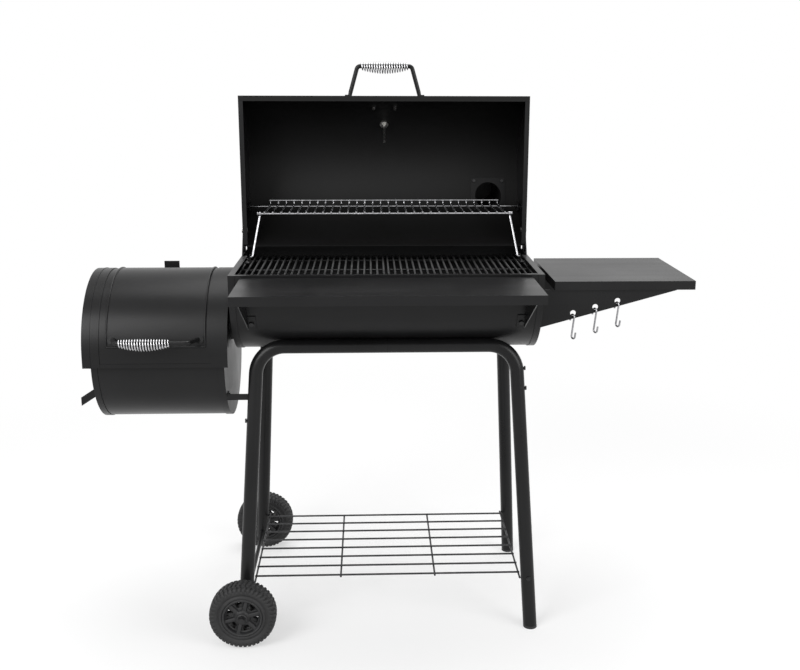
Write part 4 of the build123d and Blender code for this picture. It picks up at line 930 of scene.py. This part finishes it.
    @staticmethod
    def walls(index: np.ndarray, open_cell: np.ndarray, count: int) -> np.ndarray:
        """Walls through the rim along the edges of its windows.

        Args:
            index: Point numbers of the front face's grid.
            open_cell: Which cells of the grid are open.
            count: Offset to the same point on the back face.

        Returns:
            Quads from front to back, facing into the windows.
        """
        following = np.roll(index, -1, axis=1)
        padded = np.pad(open_cell, ((1, 1), (0, 0)))
        quads = []
        for step in (True, False):
            edge = (padded[1:] & ~padded[:-1]) if step else (padded[:-1] & ~padded[1:])
            first, second = (index, following) if step else (following, index)
            low, high = first[edge], second[edge]
            quads.append(np.stack([low, high, high + count, low + count], axis=-1))
        before = np.roll(open_cell, 1, axis=1)
        for step in (True, False):
            edge = (open_cell & ~before) if step else (before & ~open_cell)
            low, high = index[:-1][edge], index[1:][edge]
            first, second = (high, low) if step else (low, high)
            quads.append(np.stack([first, second, second + count, first + count], axis=-1))
        return np.concatenate(quads)

    @staticmethod
    def rings(index: np.ndarray, count: int) -> np.ndarray:
        """Walls of the bore and of the outer band, joining the two faces of the rim."""
        inner, outer = index[0], index[-1]
        bore = np.stack([np.roll(inner, -1), inner, inner + count, np.roll(inner, -1) + count], axis=-1)
        band = np.stack([outer, np.roll(outer, -1), np.roll(outer, -1) + count, outer + count], axis=-1)
        return np.concatenate([bore[:, ::-1], band[:, ::-1]])

    def dress(self) -> None:
        """Builds both pieces and puts them on the wheel's body in place of the CAD solids."""
        for piece, node in ((self.tyre(), f"tyre_{self.side}"), (self.rim(), f"rim_{self.side}")):
            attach(piece, f"wheel_{self.side}")
            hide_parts(node)
            LOG.info("%s: %d faces", piece.name, len(piece.data.polygons))


# Thermometer
@dataclass
class Thermometer:
    """The dial's printed disc and its numerals, set in the CAD case; sizes in mm."""

    inner: float = 1.6
    outer: float = 28.9
    thick: float = 2.0
    edge: float = 0.2
    steps: int = 120
    numeral: float = 5.2
    numeral_at: float = 15.6
    ink_lift: float = 0.04
    numerals: tuple[str, ...] = ("100", "200", "300", "400", "500", "600", "700")
    centre: np.ndarray = field(init=False)
    right: np.ndarray = field(init=False)
    up: np.ndarray = field(init=False)
    out: np.ndarray = field(init=False)

    def __post_init__(self) -> None:
        """Finds the dial's plane from its CAD points: the direction in which they spread least."""
        points = node_points("gauge_dial")
        self.centre = (points.min(axis=0) + points.max(axis=0)) / 2
        _, _, axes = np.linalg.svd(points - self.centre, full_matrices=False)
        low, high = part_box("lid_shell")
        from_lid = self.centre - np.array((self.centre[0], low.y, (low.z + high.z) / 2))
        self.out = axes[2] * np.sign(axes[2] @ from_lid)
        self.right = np.array((1.0, 0.0, 0.0))
        self.up = np.cross(self.out, self.right)

    def placed(self, x: np.ndarray, y: np.ndarray, lift: np.ndarray) -> np.ndarray:
        """Points from dial coordinates: x to the right, y up and lift towards the glass, all in mm."""
        axes = np.stack([self.right, self.up, self.out])
        return np.stack([x, y, lift], axis=-1) @ axes * MM + self.centre

    def dial(self) -> bpy.types.Object:
        """Washer of rectangular section carried round the stem, with a UV map of its face.

        Returns:
            The dial.
        """
        half = self.thick / 2
        radius = np.array([self.inner, self.outer - self.edge, self.outer, self.outer, self.inner])
        lift = np.array([half, half, half - self.edge, -half, -half])
        turn = np.linspace(0.0, 2 * math.pi, self.steps, endpoint=False)[:, None]
        x, y = radius * np.cos(turn), radius * np.sin(turn)
        points = self.placed(x, y, np.broadcast_to(lift, x.shape))
        quads = grid_quads(*x.shape, wrap_rows=True, wrap_columns=True)
        piece = make_piece("printed_dial", points, quads[:, ::-1], Look.DIAL, smooth=False)
        flat = np.stack([x, y], axis=-1).reshape(-1, 2) / (2 * self.outer) + 0.5
        corners = np.zeros(len(piece.data.loops), np.int32)
        piece.data.loops.foreach_get("vertex_index", corners)
        layer = piece.data.uv_layers.new(name="face")
        layer.data.foreach_set("uv", flat[corners].astype(np.float32).ravel())
        return piece

    def figures(self) -> bpy.types.Object:
        """Numerals spread over the dial's sweep, flat on its face.

        Returns:
            All numerals as one mesh.
        """
        points, faces, count = [], [], 0
        sweep = Look.DIAL.value.sweep
        for place, text in enumerate(self.numerals):
            angle = sweep * (place / (len(self.numerals) - 1) - 0.5)
            shape = self.letters(text)
            spot = self.numeral_at * np.array((math.sin(angle), math.cos(angle)))
            flat = np.zeros(len(shape.vertices) * 3, np.float32)
            shape.vertices.foreach_get("co", flat)
            flat = flat.reshape(-1, 3)
            lift = np.full(len(flat), self.thick / 2 + self.ink_lift)
            points.append(self.placed(flat[:, 0] + spot[0], flat[:, 1] + spot[1], lift))
            faces += [[corner + count for corner in face.vertices] for face in shape.polygons]
            count += len(flat)
            bpy.data.meshes.remove(shape)
        return make_piece("dial_figures", np.concatenate(points), faces, Look.INK, smooth=False)

    def letters(self, text: str) -> bpy.types.Mesh:
        """A mesh of centred flat figures, its units mm."""
        curve = bpy.data.curves.new("figures", "FONT")
        curve.body = text
        curve.size = self.numeral
        curve.align_x = "CENTER"
        curve.align_y = "CENTER"
        holder = bpy.data.objects.new("figures", curve)
        shape = bpy.data.meshes.new_from_object(holder)
        bpy.data.objects.remove(holder)
        bpy.data.curves.remove(curve)
        return shape

    def dress(self) -> None:
        """Builds the dial and its numerals on the lid."""
        dial, figures = self.dial(), self.figures()
        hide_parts("gauge_dial")
        for piece in (dial, figures):
            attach(piece, "lid")
            LOG.info("%s: %d faces", piece.name, len(piece.data.polygons))


# CAD nodes
@dataclass(frozen=True)
class Dresser:
    """Gives every CAD node its finish: by its record slot, or by its own name where that differs."""

    by_slot: tuple[tuple[str, Look], ...] = (
        ("powder_black", Look.COAT),
        ("enamel_wire", Look.GRATE),
        ("shelf_wire", Look.SHELF_WIRE),
        ("bright_chrome", Look.CHROME),
        ("zinc", Look.ZINC),
        ("black_plastic", Look.PLASTIC),
        ("gauge_steel", Look.STEEL),
        ("gauge_face", Look.DIAL),
        ("gauge_glass", Look.GLASS),
    )
    by_node: tuple[tuple[str, Look], ...] = (
        ("lid_shell", Look.LID),
        ("leg_frame_front", Look.TUBE),
        ("leg_frame_rear", Look.TUBE),
        ("lid_handle", Look.TUBE),
        ("gauge_needle", Look.POINTER),
        ("warming_rack", Look.WIRE),
        ("rack_legs", Look.WIRE),
        ("hook_left", Look.WIRE),
        ("hook_middle", Look.WIRE),
        ("hook_right", Look.WIRE),
        ("lid_bolts", Look.LID_BOLT),
        ("axle_nuts", Look.BLACK_BOLT),
        ("firebox_bolts", Look.BLACK_BOLT),
        ("frame_bolts", Look.BLACK_BOLT),
    )

    def dress(self) -> None:
        """Sets the material of each node."""
        slots = {part["node"]: part["material_slot"] for part in frame["record"]["subparts"]}
        by_slot, by_node = dict(self.by_slot), dict(self.by_node)
        for name, node in frame["nodes"].items():
            look = by_node.get(name, by_slot[slots[name]])
            node.data.materials.clear()
            node.data.materials.append(Palette.of(look))
            LOG.info("%s: %s", name, look.value.name)


# Studio
@dataclass
class Studio:
    """Pale floor that fades to white, soft boxes and a white surround."""

    floor_radius: float = 14.0
    floor_rings: int = 24
    floor_steps: int = 96
    floor_tone: float = 0.86
    near_glow: float = 0.5
    fade: Span = (0.9, 2.2)
    ambient: float = 0.55
    boxes: tuple[tuple[str, Triple, float, float], ...] = (
        ("key_box", (-2.3, -2.7, 2.7), 2.2, 105.0),
        ("fill_box", (2.8, -2.3, 1.9), 2.0, 60.0),
        ("top_box", (0.2, 0.6, 3.6), 2.4, 70.0),
    )
    aim: Triple = (0.0, 0.0, 0.75)

    def floor(self) -> bpy.types.Object:
        """Round floor: rings of points about the origin, the radius growing as a square.

        Returns:
            The floor.
        """
        radius = self.floor_radius * np.linspace(0.0, 1.0, self.floor_rings)[1:, None] ** 2
        turn = np.linspace(0.0, 2 * math.pi, self.floor_steps, endpoint=False)
        spread = np.broadcast_arrays(radius * np.cos(turn), radius * np.sin(turn), 0.0 * radius)
        points = np.stack(spread, axis=-1)
        quads = grid_quads(*points.shape[:2], wrap_rows=False, wrap_columns=True)
        faces = [list(range(points.shape[1])), *quads[:, ::-1].tolist()]
        mesh = bpy.data.meshes.new("floor")
        mesh.from_pydata(points.reshape(-1, 3).tolist(), [], faces)
        mesh.materials.append(self.floor_paint())
        piece = bpy.data.objects.new("floor", mesh)
        bpy.context.scene.collection.objects.link(piece)
        return piece

    def floor_paint(self) -> bpy.types.Material:
        """White floor that takes shadows near the object and shows plain white further off.

        Returns:
            The floor's material.
        """
        material = bpy.data.materials.new("pale_floor")
        graph = Graph(material)
        x, y, _ = graph.split(graph.place())
        far = (x * x + y * y).root().rise(*self.fade)
        tone = self.floor_tone
        matt = graph.node("ShaderNodeBsdfDiffuse", None, {"Color": (tone, tone, tone, 1.0)})
        glow = graph.node("ShaderNodeEmission", None, {"Color": (1.0, 1.0, 1.0, 1.0), "Strength": 1.0})
        share = (self.near_glow + far * (1.0 - self.near_glow)) * graph.shown()
        mixed = graph.node("ShaderNodeMixShader", None, {0: share, 1: matt.outputs[0], 2: glow.outputs[0]})
        graph.node("ShaderNodeOutputMaterial", None, {0: mixed.outputs[0]})
        return material

    def surround(self) -> None:
        """White world for the camera, mirrors and glass, and a softer one for the light that it gives."""
        world = bpy.data.worlds.new("surround")
        graph = Graph(world)
        levels = {"Value": graph.shown(), "To Min": self.ambient, "To Max": 1.0}
        level = graph.node("ShaderNodeMapRange", None, levels)
        white = {"Color": (1.0, 1.0, 1.0, 1.0), "Strength": level.outputs[0]}
        sky = graph.node("ShaderNodeBackground", None, white)
        graph.node("ShaderNodeOutputWorld", None, {0: sky.outputs[0]})
        bpy.context.scene.world = world

    def lights(self) -> None:
        """Square soft boxes aimed at the object's middle."""
        for name, place, size, power in self.boxes:
            lamp = bpy.data.lights.new(name, "AREA")
            lamp.shape = "SQUARE"
            lamp.size = size
            lamp.energy = power
            holder = bpy.data.objects.new(name, lamp)
            holder.location = place
            holder.rotation_euler = (Vector(self.aim) - Vector(place)).to_track_quat("-Z", "Y").to_euler()
            bpy.context.scene.collection.objects.link(holder)

    def build(self) -> None:
        """Floor, surround and lights."""
        self.floor()
        self.surround()
        self.lights()
        bpy.context.scene.view_settings.view_transform = "Standard"


@dataclass
class PhotoCamera:
    """Camera at the photograph's place: angles in radians, focal length and middle point in its pixels."""

    place: Triple = (-0.0336, -2.4395, 1.258)
    pitch: float = 0.2364
    yaw: float = 0.0412
    roll: float = 0.003
    focal: float = 1027.5
    middle: Span = (411.8, 327.8)
    image: tuple[int, int] = (800, 670)
    sensor: float = 36.0

    def build(self) -> None:
        """Makes the camera and gives it to the scene."""
        width, height = self.image
        lens = bpy.data.cameras.new("photo_camera")
        lens.sensor_width = self.sensor
        lens.lens = self.focal / width * self.sensor
        lens.shift_x = (width / 2 - self.middle[0]) / width
        lens.shift_y = (self.middle[1] - height / 2) / width
        turned = Matrix.Rotation(-self.yaw, 4, "Z") @ Matrix.Rotation(math.pi / 2 - self.pitch, 4, "X")
        holder = bpy.data.objects.new("photo_camera", lens)
        holder.matrix_world = Matrix.Translation(self.place) @ turned @ Matrix.Rotation(self.roll, 4, "Z")
        bpy.context.scene.collection.objects.link(holder)
        bpy.context.scene.camera = holder


def main() -> None:
    """Builds the pieces and the studio in order."""
    logging.basicConfig(level=logging.INFO, format="%(name)s: %(message)s")
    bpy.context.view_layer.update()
    Dresser().dress()
    for side in ("front", "rear"):
        Wheel(side).dress()
    Thermometer().dress()
    Studio().build()
    PhotoCamera().build()
    bpy.context.view_layer.update()


if __name__ == "__main__":
    main()
